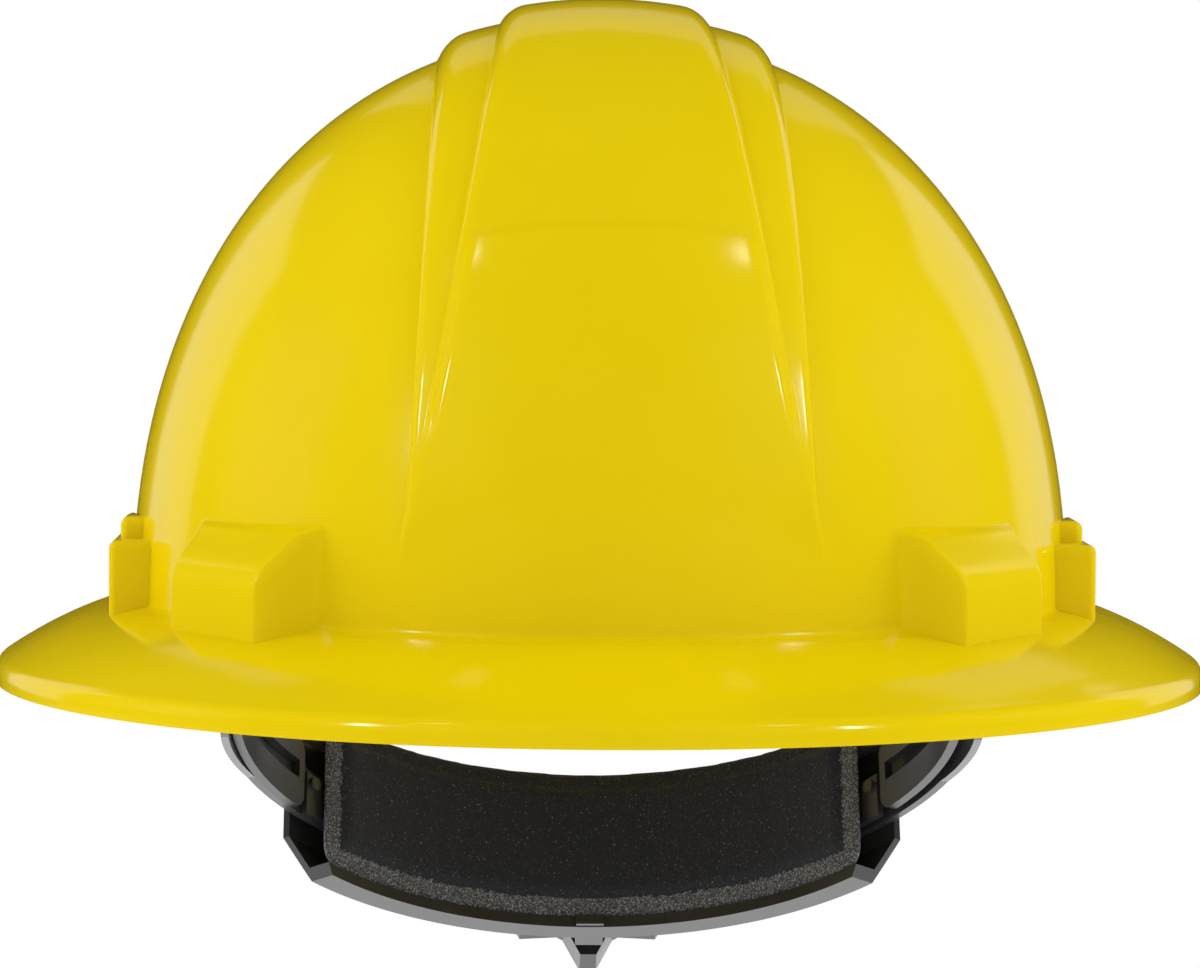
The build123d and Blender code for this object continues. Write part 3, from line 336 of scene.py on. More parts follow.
def crest_middle(turn, rise):
    """The height of a bar's middle line above the middle of the dome's base, at each fan angle."""
    dome = (np.abs(np.cos(turn)) / dome_half_length) ** dome_power + (np.sin(turn) / dome_rise) ** dome_power
    lean = np.abs(pi / 2 - turn) / (pi / 2 - crest_foot)
    swell = np.clip(1 - lean**2, 0, None) ** swell_power
    return dome ** (-1 / dome_power) + rise * swell - crest_sink * lean**sink_power


def inside_bar(x, turn, reach_out, half, flare, rise, lift):
    """Whether points lie under the skin of one bar of the crest."""
    reach = half + flare * (1 - np.sin(turn))
    corner = front_radius + (top_radius - front_radius) * np.sin(turn) ** corner_power
    edge = np.clip(reach - np.abs(x), 0, corner)
    rounding = corner - np.sqrt(corner**2 - (corner - edge) ** 2)
    skin = crest_middle(turn, rise) + lift - x**2 / (2 * dome_half_width) - rounding
    return (reach_out < skin) & (np.abs(x) <= reach + touching)


def inside_shell(x, y, z, level):
    """Whether points lie under the skin: 0 is the dome, 1 the outer bar, 2 the inner bar, 3 the panel."""
    flat = np.hypot(x / dome_half_width, y / dome_half_length)
    under = flat**dome_power + (np.clip(z - dome_base, 0, None) / dome_rise) ** dome_power < 1
    turn, reach_out = np.arctan2(z - dome_base, -y), np.hypot(y, z - dome_base)
    under |= (level >= 1) & inside_bar(x, turn, reach_out, outer_half, outer_flare, outer_rise, 0)
    under |= (level >= 2) & inside_bar(x, turn, reach_out, inner_half, inner_flare, inner_rise, 0)
    fade = np.clip((turn - panel_foot) / panel_fade, 0, 1)
    lift = panel_rise * fade - panel_sink * (1 - fade)
    panel = inside_bar(x, turn, reach_out, inner_half - panel_margin, inner_flare, inner_rise, lift)
    return under | ((level >= 3) & panel)


print("crest at the crown", round(float(crest_middle(np.array(pi / 2), inner_rise)), 1))

# %% Columns of the grid: how far across, and on which level
shoulder_insets = (7.4, 6.0, 4.8, 3.7, 2.8, 2.1, 1.65)
edge_insets = (1.0, 0.7, 0.45, 0.25, 0.1, 0.0)
strip_shares = (0.03, 0.08, 0.18, 0.32, 0.45, 0.56, 0.66, 0.75, 0.83, 0.90, 0.95, 0.985, 1.0)
middle_steps, side_steps, side_crowding = 9, 44, 1.15
middle_gap, least_strip = 0.6, 0.05
columns = [("middle", step / middle_steps, 3) for step in range(middle_steps)]
columns += [("inner", inset, 3) for inset in shoulder_insets]
columns += [("inner", panel_margin, 3), ("inner", panel_margin, 2)]
columns += [("inner", inset, 2) for inset in edge_insets]
columns += [("strip", 0.0, 1)] + [("strip", share, 1) for share in strip_shares]
columns += [("side", 0.0, 0)]
columns += [("side", (step / side_steps) ** side_crowding, 0) for step in range(1, side_steps + 1)]


def across(column, turn):
    """How far from the middle one column runs, at each fan angle."""
    kind, value, _ = column
    inner = inner_half + inner_flare * (1 - np.sin(turn))
    outer = np.maximum(outer_half + outer_flare * (1 - np.sin(turn)), inner + least_strip)
    if kind == "middle":
        return (inner - shoulder_insets[0] - middle_gap) * value
    if kind == "inner":
        return inner - value
    if kind == "strip":
        return inner + (outer - inner) * value
    foot_share = (1 - ((foot_height - dome_base) / dome_rise) ** dome_power) ** (1 / dome_power)
    foot_half_width = dome_half_width * foot_share
    start = np.arcsin(outer / foot_half_width)
    return foot_half_width * np.sin(start + (pi / 2 - start) * value)


print("columns on each side", len(columns))

# %% The dome with its crest
row_steps, step_near, step_far, step_clear = 176, 0.0005, 0.004, 0.006
guess_reach, search_reach, halvings, merge_distance = 120, 180.0, 40, 0.00002
plain_rows = [pi * step / row_steps for step in range(row_steps + 1)]
step_rows = [panel_top + offset for offset in (-step_far, -step_near, step_near, step_far)]
rows = sorted([row for row in plain_rows if abs(row - panel_top) > step_clear] + step_rows)
span = len(columns) - 1
bm = bmesh.new()
bmesh.ops.create_grid(bm, x_segments=2 * span, y_segments=len(rows) - 1, size=1.0)
bm.verts.ensure_lookup_table()
grid = np.array([v.co[:] for v in bm.verts])
column_of = np.rint((grid[:, 0] + 1) * span).astype(int) - span
row_of = np.rint((grid[:, 1] + 1) * (len(rows) - 1) / 2).astype(int)
fan = np.array(rows)[row_of]
level = np.array([columns[abs(c)][2] for c in column_of])
turn_guess = np.arctan2(foot_height - dome_base + guess_reach * np.sin(fan), guess_reach * np.cos(fan))
past_panel = fan > panel_top
level = np.where((level == 3) & past_panel, 2, level)
x = np.array([np.sign(c) * across(columns[abs(c)], t) for c, t in zip(column_of, turn_guess)])
near, far = np.zeros(len(x)), np.full(len(x), search_reach)
for _ in range(halvings):
    half_way = (near + far) / 2
    under = inside_shell(x, -half_way * np.cos(fan), foot_height + half_way * np.sin(fan), level)
    near, far = np.where(under, half_way, near), np.where(under, far, half_way)
for vert, side, reach, turn in zip(bm.verts, x, near, fan):
    vert.co = Vector((side, -reach * cos(turn), foot_height + reach * sin(turn))) * MM
bmesh.ops.remove_doubles(bm, verts=bm.verts, dist=merge_distance)
print("dome faces", len(bm.faces))

# %% [markdown]
# ## The brim
# The brim leaves the dome's foot in a tight hollow curve, falls outwards, and ends in an upright lip. Its
# outline is a rounder oval than the dome's, so each ring has its own width and length. The open edge of
# the dome is extruded ring by ring, and every new point keeps its bearing round the oval.

# %% The brim's slope
brim_root_height, brim_slope, brim_fall = 20.1, 5.2, 10.3
root_half_width, root_half_length = 106, 116
brim_half_width, brim_half_length = 143.0, 163.5


def brim_height(share):
    """The height of the brim's upper face, at a share of the way from just inside the dome to the edge."""
    return brim_root_height - brim_slope * share - brim_fall * share**2


print("brim at its edge", round(brim_height(1), 1))

# %% Rings of the brim, extruded from the foot of the dome
root_rings = [(111.02, 121.02, 19.9), (111.3, 121.3, 19.35), (111.9, 121.95, 18.95)]
fall_shares = (0.2, 0.25, 0.31, 0.38, 0.45, 0.52, 0.59, 0.66, 0.73, 0.79, 0.85, 0.90, 0.94)
width_span, length_span = brim_half_width - root_half_width, brim_half_length - root_half_length
fall_rings = [
    (root_half_width + width_span * f, root_half_length + length_span * f, brim_height(f))
    for f in fall_shares
]
lip_rings = [(141.5, 162.0, 5.6), (142.1, 162.6, 5.05), (142.55, 163.05, 4.35), (142.85, 163.35, 3.5)]
lip_rings += [(brim_half_width, brim_half_length, height) for height in (2.5, 1.2, 0.0)]
open_edges = [edge for edge in bm.edges if edge.is_boundary]
last_width, last_length = dome_half_width, dome_half_length
for ring_width, ring_length, ring_height in root_rings + fall_rings + lip_rings:
    made = bmesh.ops.extrude_edge_only(bm, edges=open_edges)["geom"]
    open_edges = [item for item in made if isinstance(item, bmesh.types.BMEdge)]
    for vert in {v for edge in open_edges for v in edge.verts}:
        bearing = atan2(vert.co.y / last_length, vert.co.x / last_width)
        vert.co = Vector((ring_width * cos(bearing), ring_length * sin(bearing), ring_height)) * MM
    last_width, last_length = ring_width, ring_length
bmesh.ops.recalc_face_normals(bm, faces=bm.faces)
if sum(face.normal.z for face in bm.faces) < 0:
    bmesh.ops.reverse_faces(bm, faces=bm.faces)
shell_mesh = bpy.data.meshes.new("hat_shell")
bm.to_mesh(shell_mesh)
bm.free()
shell = bpy.data.objects.new("hat_shell", shell_mesh)
bpy.context.collection.objects.link(shell)
print("shell faces", len(shell_mesh.polygons))


# %% Helpers that make an object and apply its modifiers
def as_object(name, bm):
    """A new object that takes over a bmesh."""
    mesh = bpy.data.meshes.new(name)
    bm.to_mesh(mesh)
    bm.free()
    piece = bpy.data.objects.new(name, mesh)
    bpy.context.collection.objects.link(piece)
    return piece


def apply_modifiers(piece):
    """Replaces a piece's mesh by what its modifiers make of it."""
    ready = bpy.data.meshes.new_from_object(piece.evaluated_get(bpy.context.evaluated_depsgraph_get()))
    piece.modifiers.clear()
    piece.data = ready
    return piece


def smooth(piece, corner=35):
    """Smooth shading, with edges sharper than the corner angle left crisp."""
    for face in piece.data.polygons:
        face.use_smooth = True
    piece.data.set_sharp_from_angle(angle=radians(corner))


# %% [markdown]
# ## Wall thickness and accessory slots
# The moulding is 2.5 mm thick all over, so a Solidify modifier gives the inner skin and the lip's lower
# rim at once. The slots of the accessory blocks are cut afterwards, with a box that a Boolean modifier
# takes away.

# %% Thickness
thickness = shell.modifiers.new("wall", "SOLIDIFY")
thickness.thickness, thickness.offset = wall * MM, -1
apply_modifiers(shell)
print("shell triangles", sum(len(p.vertices) - 2 for p in shell.data.polygons))


# %% A helper that pushes an outline into a block with rounded edges
def block(outline, push, rounding, is_rounded, segments=5):
    """Extrudes a flat outline by one vector and rounds the edges that the test picks."""
    bm = bmesh.new()
    bm.faces.new([bm.verts.new(Vector(point) * MM) for point in outline])
    made = bmesh.ops.extrude_face_region(bm, geom=bm.faces[:])["geom"]
    pushed = [item for item in made if isinstance(item, bmesh.types.BMVert)]
    bmesh.ops.translate(bm, verts=pushed, vec=Vector(push) * MM)
    bmesh.ops.recalc_face_normals(bm, faces=bm.faces)
    picked = [edge for edge in bm.edges if is_rounded((edge.verts[0].co + edge.verts[1].co) / (2 * MM))]
    bmesh.ops.bevel(
        bm, geom=picked, offset=rounding * MM, segments=segments, profile=0.5, affect="EDGES", material=-1
    )
    return bm


def flipped(piece, name, across_x=False, across_y=False):
    """A mirrored copy of a piece, with its faces turned the right way out."""
    bm = bmesh.new()
    bm.from_mesh(piece.data)
    bmesh.ops.scale(bm, verts=bm.verts, vec=(-1 if across_x else 1, -1 if across_y else 1, 1))
    if across_x != across_y:
        bmesh.ops.reverse_faces(bm, faces=bm.faces)
    return as_object(name, bm)


# %% [markdown]
# ## The pockets for the keys
# Four pockets swell out of the dome's foot, and the suspension's keys sit inside them. Each has a flat
# face, a sloping top and rounded ends, and runs into the dome by a small fillet. It is a grid of points
# on the plane of its face, pushed in or out to the least of its planes, with the corners between them
# rounded. The other three are mirrored from the first. Its edges dip under the dome and the brim, where
# nobody sees them.

# %% Sizes of a pocket
pocket_turn = radians(54)
pocket_out = Vector((sin(pocket_turn), -cos(pocket_turn)))
pocket_along = Vector((cos(pocket_turn), sin(pocket_turn)))
pocket_face = Vector((87.0, -91.0))
pocket_inner_end, pocket_outer_end = 16.4, 19.2
pocket_shoulder, pocket_crest, pocket_slope = 31.5, 40.5, 10.0
pocket_floor, pocket_ceiling, pocket_reach = 15.8, 46.0, 24.5
top_steepness, side_steepness, side_set_back = 5.0, 4.5, 1.0
shoulder_round, top_round, side_round, fillet = 4.0, 3.5, 6.5, 4.5
dome_sink = 0.12


def soft_least(a, b, radius):
    """The lesser of two values, with the corner between them rounded."""
    share = min(max(0.5 + (a - b) / (2 * radius), 0), 1)
    return a + (b - a) * share - radius * share * (1 - share)


def dome_depth(along, height):
    """How far the dome's skin lies behind the plane of the pocket's face."""
    start = pocket_face + pocket_along * along
    flat = (1 - (max(height - dome_base, 0) / dome_rise) ** dome_power) ** (2 / dome_power)
    a = (pocket_out.x / dome_half_width) ** 2 + (pocket_out.y / dome_half_length) ** 2
    b = start.x * pocket_out.x / dome_half_width**2 + start.y * pocket_out.y / dome_half_length**2
    c = (start.x / dome_half_width) ** 2 + (start.y / dome_half_length) ** 2 - flat
    return (-b + sqrt(max(b * b - a * c, 0))) / a


def pocket_depth(along, height):
    """How far the pocket's skin stands in front of that plane, blended into the dome by a small fillet."""
    slope = (pocket_crest - pocket_shoulder) / pocket_slope
    top = (pocket_crest - height) * top_steepness - pocket_slope
    front = soft_least(0.0, (pocket_shoulder - height) / slope, shoulder_round)
    sides = (pocket_outer_end - along if along > 0 else pocket_inner_end + along) * side_steepness
    skin = soft_least(soft_least(front, top, top_round), sides - side_set_back, side_round)
    return -soft_least(-skin, -dome_depth(along, height) + dome_sink, fillet)


print("pocket depth at its shoulder", round(pocket_depth(0, pocket_shoulder), 2))


# %% The four pockets
def packed(limits, steps):
    """Places between the given limits, each stretch cut into its own number of steps."""
    places = [limits[0]]
    for low, high, count in zip(limits, limits[1:], steps):
        places += [low + (high - low) * (step + 1) / count for step in range(count)]
    return places


rim_start, rim_width, rim_foot, rim_sink = 0.9, 0.1, 30, 0.5
brim_span_share, least_share, under_brim = 0.375, 0.12, 1.4
outer_places = packed((0, 14.5, pocket_outer_end - 1.2, pocket_outer_end + 2.2, pocket_reach), (8, 8, 18, 6))
inner_places = packed((0, 11.0, pocket_inner_end - 1.2, pocket_inner_end + 2.8, pocket_reach), (7, 9, 22, 8))
columns_across = [-place for place in reversed(inner_places[1:])] + outer_places
row_heights = packed((pocket_floor, 20, 29.5, 34, 39, 42.5, pocket_ceiling), (5, 6, 8, 5, 10, 5))
bm = bmesh.new()
rows_of_verts = []
for height in row_heights:
    line = []
    for along in columns_across:
        depth = pocket_depth(along, height)
        rim = max(abs(along) / pocket_reach, (height - rim_foot) / (pocket_ceiling - rim_foot))
        depth -= rim_sink * max(0, (rim - rim_start) / rim_width)
        flat = pocket_face + pocket_along * along + pocket_out * depth
        share = (hypot(flat.x / root_half_width, flat.y / root_half_length) - 1) / brim_span_share
        floor_here = brim_height(min(max(share, least_share), 1)) - under_brim
        line.append(bm.verts.new(Vector((flat.x, flat.y, max(height, floor_here))) * MM))
    rows_of_verts.append(line)
for low, high in zip(rows_of_verts, rows_of_verts[1:]):
    for column in range(len(columns_across) - 1):
        bm.faces.new([low[column], low[column + 1], high[column + 1], high[column]])
bmesh.ops.remove_doubles(bm, verts=bm.verts, dist=merge_distance)
bmesh.ops.recalc_face_normals(bm, faces=bm.faces)
if sum(face.normal.x for face in bm.faces) < 0:
    bmesh.ops.reverse_faces(bm, faces=bm.faces)
pocket = as_object("front_left_pocket", bm)
shell_pieces = [
    pocket,
    flipped(pocket, "front_right_pocket", across_x=True),
    flipped(pocket, "rear_left_pocket", across_y=True),
    flipped(pocket, "rear_right_pocket", across_x=True, across_y=True),
]
print("pocket faces", len(pocket.data.polygons))

# %% [markdown]
# ## The accessory blocks
# On each side stands a block with a slot for accessories, and on it a narrower lug. Both are outlines
# pushed upwards, with their outer edges bevelled, and they reach a little into the dome. One box cuts the
# slot through the block and through the wall behind it.

# %% The blocks with their lugs, cut for the slots
block_floor, block_rounding, lug_floor, lug_rounding = 16.5, 1.8, 33.0, 2.0
slot_size, slot_middle = Vector((2.6, 28.0, 19.0)), Vector((110.9, -19.0, 21.5))
block_half_width, block_top, lug_half_width, lug_top = 114.2, 34.3, 112.2, 39.2
wall_line = [(109.9, 2.0), (109.4, -10.0), (108.1, -20.0), (106.2, -30.0), (103.3, -40.0)]
block_plan = wall_line + [(block_half_width, -40.0), (block_half_width, 2.0)]
side_block = as_object(
    "left_accessory_block",
    block(
        [(px, py, block_floor) for px, py in block_plan],
        (0, 0, block_top - block_floor),
        block_rounding,
        lambda m: m.x > 105 and m.z > 17 and (m.x > 113 or m.z > 34),
    ),
)
lug_plan = [(109.2, -12.0), (107.9, -21.0), (105.9, -30.0), (lug_half_width, -30.0), (lug_half_width, -12.0)]
side_lug = as_object(
    "left_accessory_lug",
    block(
        [(px, py, lug_floor) for px, py in lug_plan],
        (0, 0, lug_top - lug_floor),
        lug_rounding,
        lambda m: m.x > 107 and m.z > 34 and (m.x > 112 or m.z > 39),
    ),
)
bm = bmesh.new()
bmesh.ops.create_cube(bm, size=1.0)
bmesh.ops.scale(bm, verts=bm.verts, vec=slot_size * MM)
bmesh.ops.translate(bm, verts=bm.verts, vec=slot_middle * MM)
slot_box = as_object("slot_box", bm)
other_slot_box = flipped(slot_box, "other_slot_box", across_x=True)
for piece, cutters in ((side_block, [slot_box]), (shell, [slot_box, other_slot_box])):
    for cutter in cutters:
        cut = piece.modifiers.new("slot", "BOOLEAN")
        cut.operation, cut.object, cut.solver = "DIFFERENCE", cutter, "EXACT"
    apply_modifiers(piece)
shell_pieces += [side_block, flipped(side_block, "right_accessory_block", across_x=True)]
shell_pieces += [side_lug, flipped(side_lug, "right_accessory_lug", across_x=True)]
for cutter in (slot_box, other_slot_box):
    bpy.data.objects.remove(cutter)
for piece in [shell] + shell_pieces:
    smooth(piece, 180 if piece.name.endswith("pocket") else 35)
    piece.data.materials.clear()
    piece.data.materials.append(shell_finish)
    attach(piece, "hat")
    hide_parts("shell")
print("shell pieces", len(shell_pieces) + 1)

# %% [markdown]
# ## The tilted ring
# The nape straps, the carrier, the pad and the ratchet all lie round one circle that is tilted down
# towards the rear. A point is given by its bearing round that circle, its distance from the middle, and
# its height along the ring's own axis.

# %% Points on the tilted ring
ring_tilt = radians(33)
ring_middle = Vector((0, 15.0, -6.0))
ring_out = Vector((0, cos(ring_tilt), -sin(ring_tilt)))
ring_up = Vector((0, sin(ring_tilt), cos(ring_tilt)))


def on_ring(bearing, reach, height):
    """A place on the tilted ring, in metres."""
    away = Vector((1, 0, 0)) * cos(bearing) + ring_out * sin(bearing)
    return (ring_middle + away * reach + ring_up * height) * MM


def ring_place(point):
    """The bearing, reach and height of a point in metres, seen from the tilted ring."""
    local = point / MM - ring_middle
    flat = Vector((local.x, local.dot(ring_out)))
    return atan2(flat.y, flat.x), flat.length, local.dot(ring_up)


print("rear of the ring", on_ring(pi / 2, 82, 0))

# %% [markdown]
# ## Padded pieces
# The nape pad is a strip of foam between two cloths, pressed flat round its border. It starts as a plain
# block bent round the ring, is remeshed into even cells, blown up a little as cloth under pressure, and
# then pressed again where the border is. The pressed border has a paler finish, which is left off the
# pad's upper edge, as that edge looks dark. The sweatband is made the same way and hangs inside the brow.

# %% Helpers that cut a cube into cells and blow a piece up as cloth
x_axis, z_axis, cloth_frames = 0, 2, 15


def cut_along(bm, axis, cuts):
    """Cuts the edges of a unit cube that run along one axis."""
    edges = [edge for edge in bm.edges if abs(edge.verts[0].co[axis] - edge.verts[1].co[axis]) > 0.5]
    bmesh.ops.subdivide_edges(bm, edges=edges, cuts=cuts)


def blow_up(piece, cell, pressure, cap):
    """Remeshes a piece and swells it under pressure, where no point moves further than the cap."""
    remesh = piece.modifiers.new("cells", "REMESH")
    remesh.mode, remesh.voxel_size = "VOXEL", cell * MM
    apply_modifiers(piece)
    before = [v.co.copy() for v in piece.data.vertices]
    cloth = piece.modifiers.new("cloth", "CLOTH")
    cloth.settings.use_pressure, cloth.settings.uniform_pressure_force = True, pressure
    cloth.settings.effector_weights.gravity = 0
    for step in range(1, cloth_frames + 1):
        scene.frame_set(step)
        bpy.context.view_layer.update()
    apply_modifiers(piece)
    scene.frame_set(1)
    for vert, home in zip(piece.data.vertices, before):
        moved = vert.co - home
        if moved.length > cap * MM:
            vert.co = home + moved.normalized() * cap * MM
    return piece


# %% The nape pad's foam
pad_shrink, pad_front_gap, pad_back_gap = 0.8, 1.2, 0.5
pad_start, pad_half_height, pad_border, pad_corner = radians(38), 20.2, 5.0, 6.0
pad_outer, pad_border_reach, pad_middle_reach = 86.4, 84.0, 82.0
bm = bmesh.new()
bmesh.ops.create_cube(bm, size=1.0)
cut_along(bm, x_axis, 60)
cut_along(bm, z_axis, 12)
for vert in bm.verts:
    bearing = pi / 2 - vert.co.x * (pi - 2 * pad_start - 2 * pad_shrink / pad_outer)
    reach = pad_middle_reach + pad_front_gap if vert.co.y > 0 else pad_outer - pad_back_gap
    vert.co = on_ring(bearing, reach, vert.co.z * 2 * (pad_half_height - pad_shrink))
bmesh.ops.recalc_face_normals(bm, faces=bm.faces)
nape_pad = blow_up(as_object("nape_pad_cloth", bm), cell=1.6, pressure=3.0, cap=1.2)
print("nape pad points", len(nape_pad.data.vertices))


# %% The pad's rounded outline
def inset_from_edge(bearing, height):
    """How far a place on the pad lies inside its rounded outline, in millimetres."""
    past_side = abs(pad_outer * (bearing - pi / 2)) - (pad_outer * (pi / 2 - pad_start) - pad_corner)
    past_top = abs(height) - (pad_half_height - pad_corner)
    return pad_corner - hypot(max(past_side, 0), max(past_top, 0)) - min(max(past_side, past_top), 0)


def on_edge(bearing, height):
    """The nearest place on the pad's rounded outline."""
    side, top = pad_outer * (bearing - pi / 2), height
    half_length = pad_outer * (pi / 2 - pad_start)
    past_side, past_top = abs(side) - (half_length - pad_corner), abs(top) - (pad_half_height - pad_corner)
    if past_side > 0 and past_top > 0:
        stretch = pad_corner / hypot(past_side, past_top)
        past_side, past_top = past_side * stretch, past_top * stretch
    elif past_side > past_top:
        past_side = pad_corner
    else:
        past_top = pad_corner
    side = (half_length - pad_corner + past_side) * (1 if side > 0 else -1)
    top = (pad_half_height - pad_corner + past_top) * (1 if top > 0 else -1)
    return pi / 2 + side / pad_outer, top


print("inset at the pad's middle", inset_from_edge(pi / 2, 0))

# %% Pressing the pad's border
snap, snap_reach = 1.5, 6.0
slope_start, slope_width = 1.2, 3.2
edge_rounding, edge_width, back_rounding = 1.0, 1.6, 0.5
cloth_gap, foam_core, border_overlap = 0.2, 0.4, 0.4
puff_low, puff_high, puff_share = -0.2, 0.5, 0.4
for vert in nape_pad.data.vertices:
    bearing, reach, height = ring_place(vert.co)
    inset = inset_from_edge(bearing, height)
    if inset < snap_reach:
        edge_bearing, edge_height = on_edge(bearing, height)
        pull = 1 if inset < snap else ((snap_reach - inset) / (snap_reach - snap)) ** 2 * snap / inset
        bearing += (edge_bearing - bearing) * pull
        height += (edge_height - height) * pull
    inset = max(inset_from_edge(bearing, height), 0)
    share = min(max((inset - pad_border + slope_start) / slope_width, 0), 1)
    rise = share * share * (3 - 2 * share)
    edge_round = edge_rounding * max(0, 1 - inset / edge_width) ** 2
    front = pad_border_reach + edge_round - (pad_border_reach - pad_middle_reach - cloth_gap) * rise
    back = pad_outer - cloth_gap - edge_round * back_rounding
    middle = (front + back) / 2
    if reach < middle - foam_core:
        puff = (reach - pad_middle_reach - foam_core) * puff_share
        reach = front + max(puff_low, min(puff_high, puff)) * rise
    elif reach > middle + foam_core:
        reach = back
    else:
        reach = middle
    vert.co = on_ring(bearing, reach, height)
finer = nape_pad.modifiers.new("finer", "SUBSURF")
finer.levels = finer.render_levels = 1
apply_modifiers(nape_pad)
smooth(nape_pad, 180)
nape_pad.data.materials.clear()
nape_pad.data.materials.append(pad_finish)
nape_pad.data.materials.append(border_finish)
for face in nape_pad.data.polygons:
    bearing, reach, height = ring_place(face.center)
    near_edge = inset_from_edge(bearing, height) < pad_border - border_overlap
    on_border = near_edge and height < pad_half_height - pad_border
    face.material_index = 1 if on_border else 0
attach(nape_pad, "hat")
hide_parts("nape_pad")
print("nape pad faces", len(nape_pad.data.polygons))

# %% The brow sweatband
band_half_width, band_depth, band_thick = 85.3, 123.5, 4.0
band_floor, band_top, band_end = -3.0, 27.0, -19.0
band_middle, band_shrink, band_front_gap, band_back_gap = 15.0, 0.8, 0.7, 0.9
seam_inset, seam_half_width, seam_depth = 4.0, 1.1, 1.1
end_turn = asin((band_middle - band_end) / band_depth)
bm = bmesh.new()
bmesh.ops.create_cube(bm, size=1.0)
cut_along(bm, x_axis, 90)
cut_along(bm, z_axis, 8)
for vert in bm.verts:
    turn = end_turn + (vert.co.x + 0.5) * (pi - 2 * end_turn)
    inward = band_front_gap if vert.co.y > 0 else band_thick - band_back_gap
    height = (band_floor + band_top) / 2 + vert.co.z * (band_top - band_floor - 2 * band_shrink)
    across_hat = (band_half_width - inward) * cos(turn)
    vert.co = Vector((across_hat, band_middle - (band_depth - inward) * sin(turn), height)) * MM
bmesh.ops.recalc_face_normals(bm, faces=bm.faces)
sweatband = blow_up(as_object("brow_sweatband_cloth", bm), cell=1.9, pressure=3.0, cap=0.8)
for vert in sweatband.data.vertices:
    point = vert.co / MM
    from_edge = min(point.z - band_floor, band_top - point.z)
    seam = max(0, 1 - abs(from_edge - seam_inset) / seam_half_width)
    bearing = atan2((band_middle - point.y) / band_depth, point.x / band_half_width)
    skin = Vector((band_half_width * cos(bearing), band_middle - band_depth * sin(bearing), 0))
    to_skin = skin - Vector((point.x, point.y, 0))
    if to_skin.length > band_thick / 2 and seam > 0:
        vert.co += to_skin.normalized() * seam_depth * seam * MM
finer = sweatband.modifiers.new("finer", "SUBSURF")
finer.levels = finer.render_levels = 1
apply_modifiers(sweatband)
smooth(sweatband, 180)
sweatband.data.materials.clear()
sweatband.data.materials.append(sweatband_finish)
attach(sweatband, "hat")
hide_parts("brow_sweatband")
print("sweatband faces", len(sweatband.data.polygons))

# %% [markdown]
# ## Crown webbing
# Two webbing straps cross over the head. Each runs up from one key, over the crown and down to the
# opposite key. Its lower end passes through the key's loop and turns back up beside itself, where it is
# sewn down. A strap is swept as a flat ribbon, and its UV map runs along and across it so that the weave
# follows it.

# %% Helpers for webbing
strap_width, strap_thick = 19.0, 1.2
strap_side, strap_foot, strap_power = 100.0, 42.0, 2.2
loop_radius, loop_height = 2.4, 27.5
arc_steps, loop_steps = 60, 10
thin_from, thin_width, thinning = 0.9, 0.1, 0.6
map_along, map_across = 0.01, 0.005


def strap_path(crown_height):
    """Half of a strap's middle line, from the crown to its sewn end, as pairs of distance and height."""
    rise = crown_height - strap_foot
    line = []
    for step in range(arc_steps + 1):
        turn = pi / 2 * step / arc_steps
        away, up = sin(turn) ** (2 / strap_power), cos(turn) ** (2 / strap_power)
        line.append((strap_side * away, strap_foot + rise * up))
    line += [(strap_side, height) for height in (38.0, 34.0, 30.0)]
    loop_middle = strap_side + loop_radius
    for step in range(loop_steps + 1):
        turn = pi * step / loop_steps
        line.append((loop_middle - loop_radius * cos(turn), loop_height - loop_radius * sin(turn)))
    line += [(loop_middle + loop_radius, height) for height in (31.0, 35.0, 39.0, 42.0)]
    return line


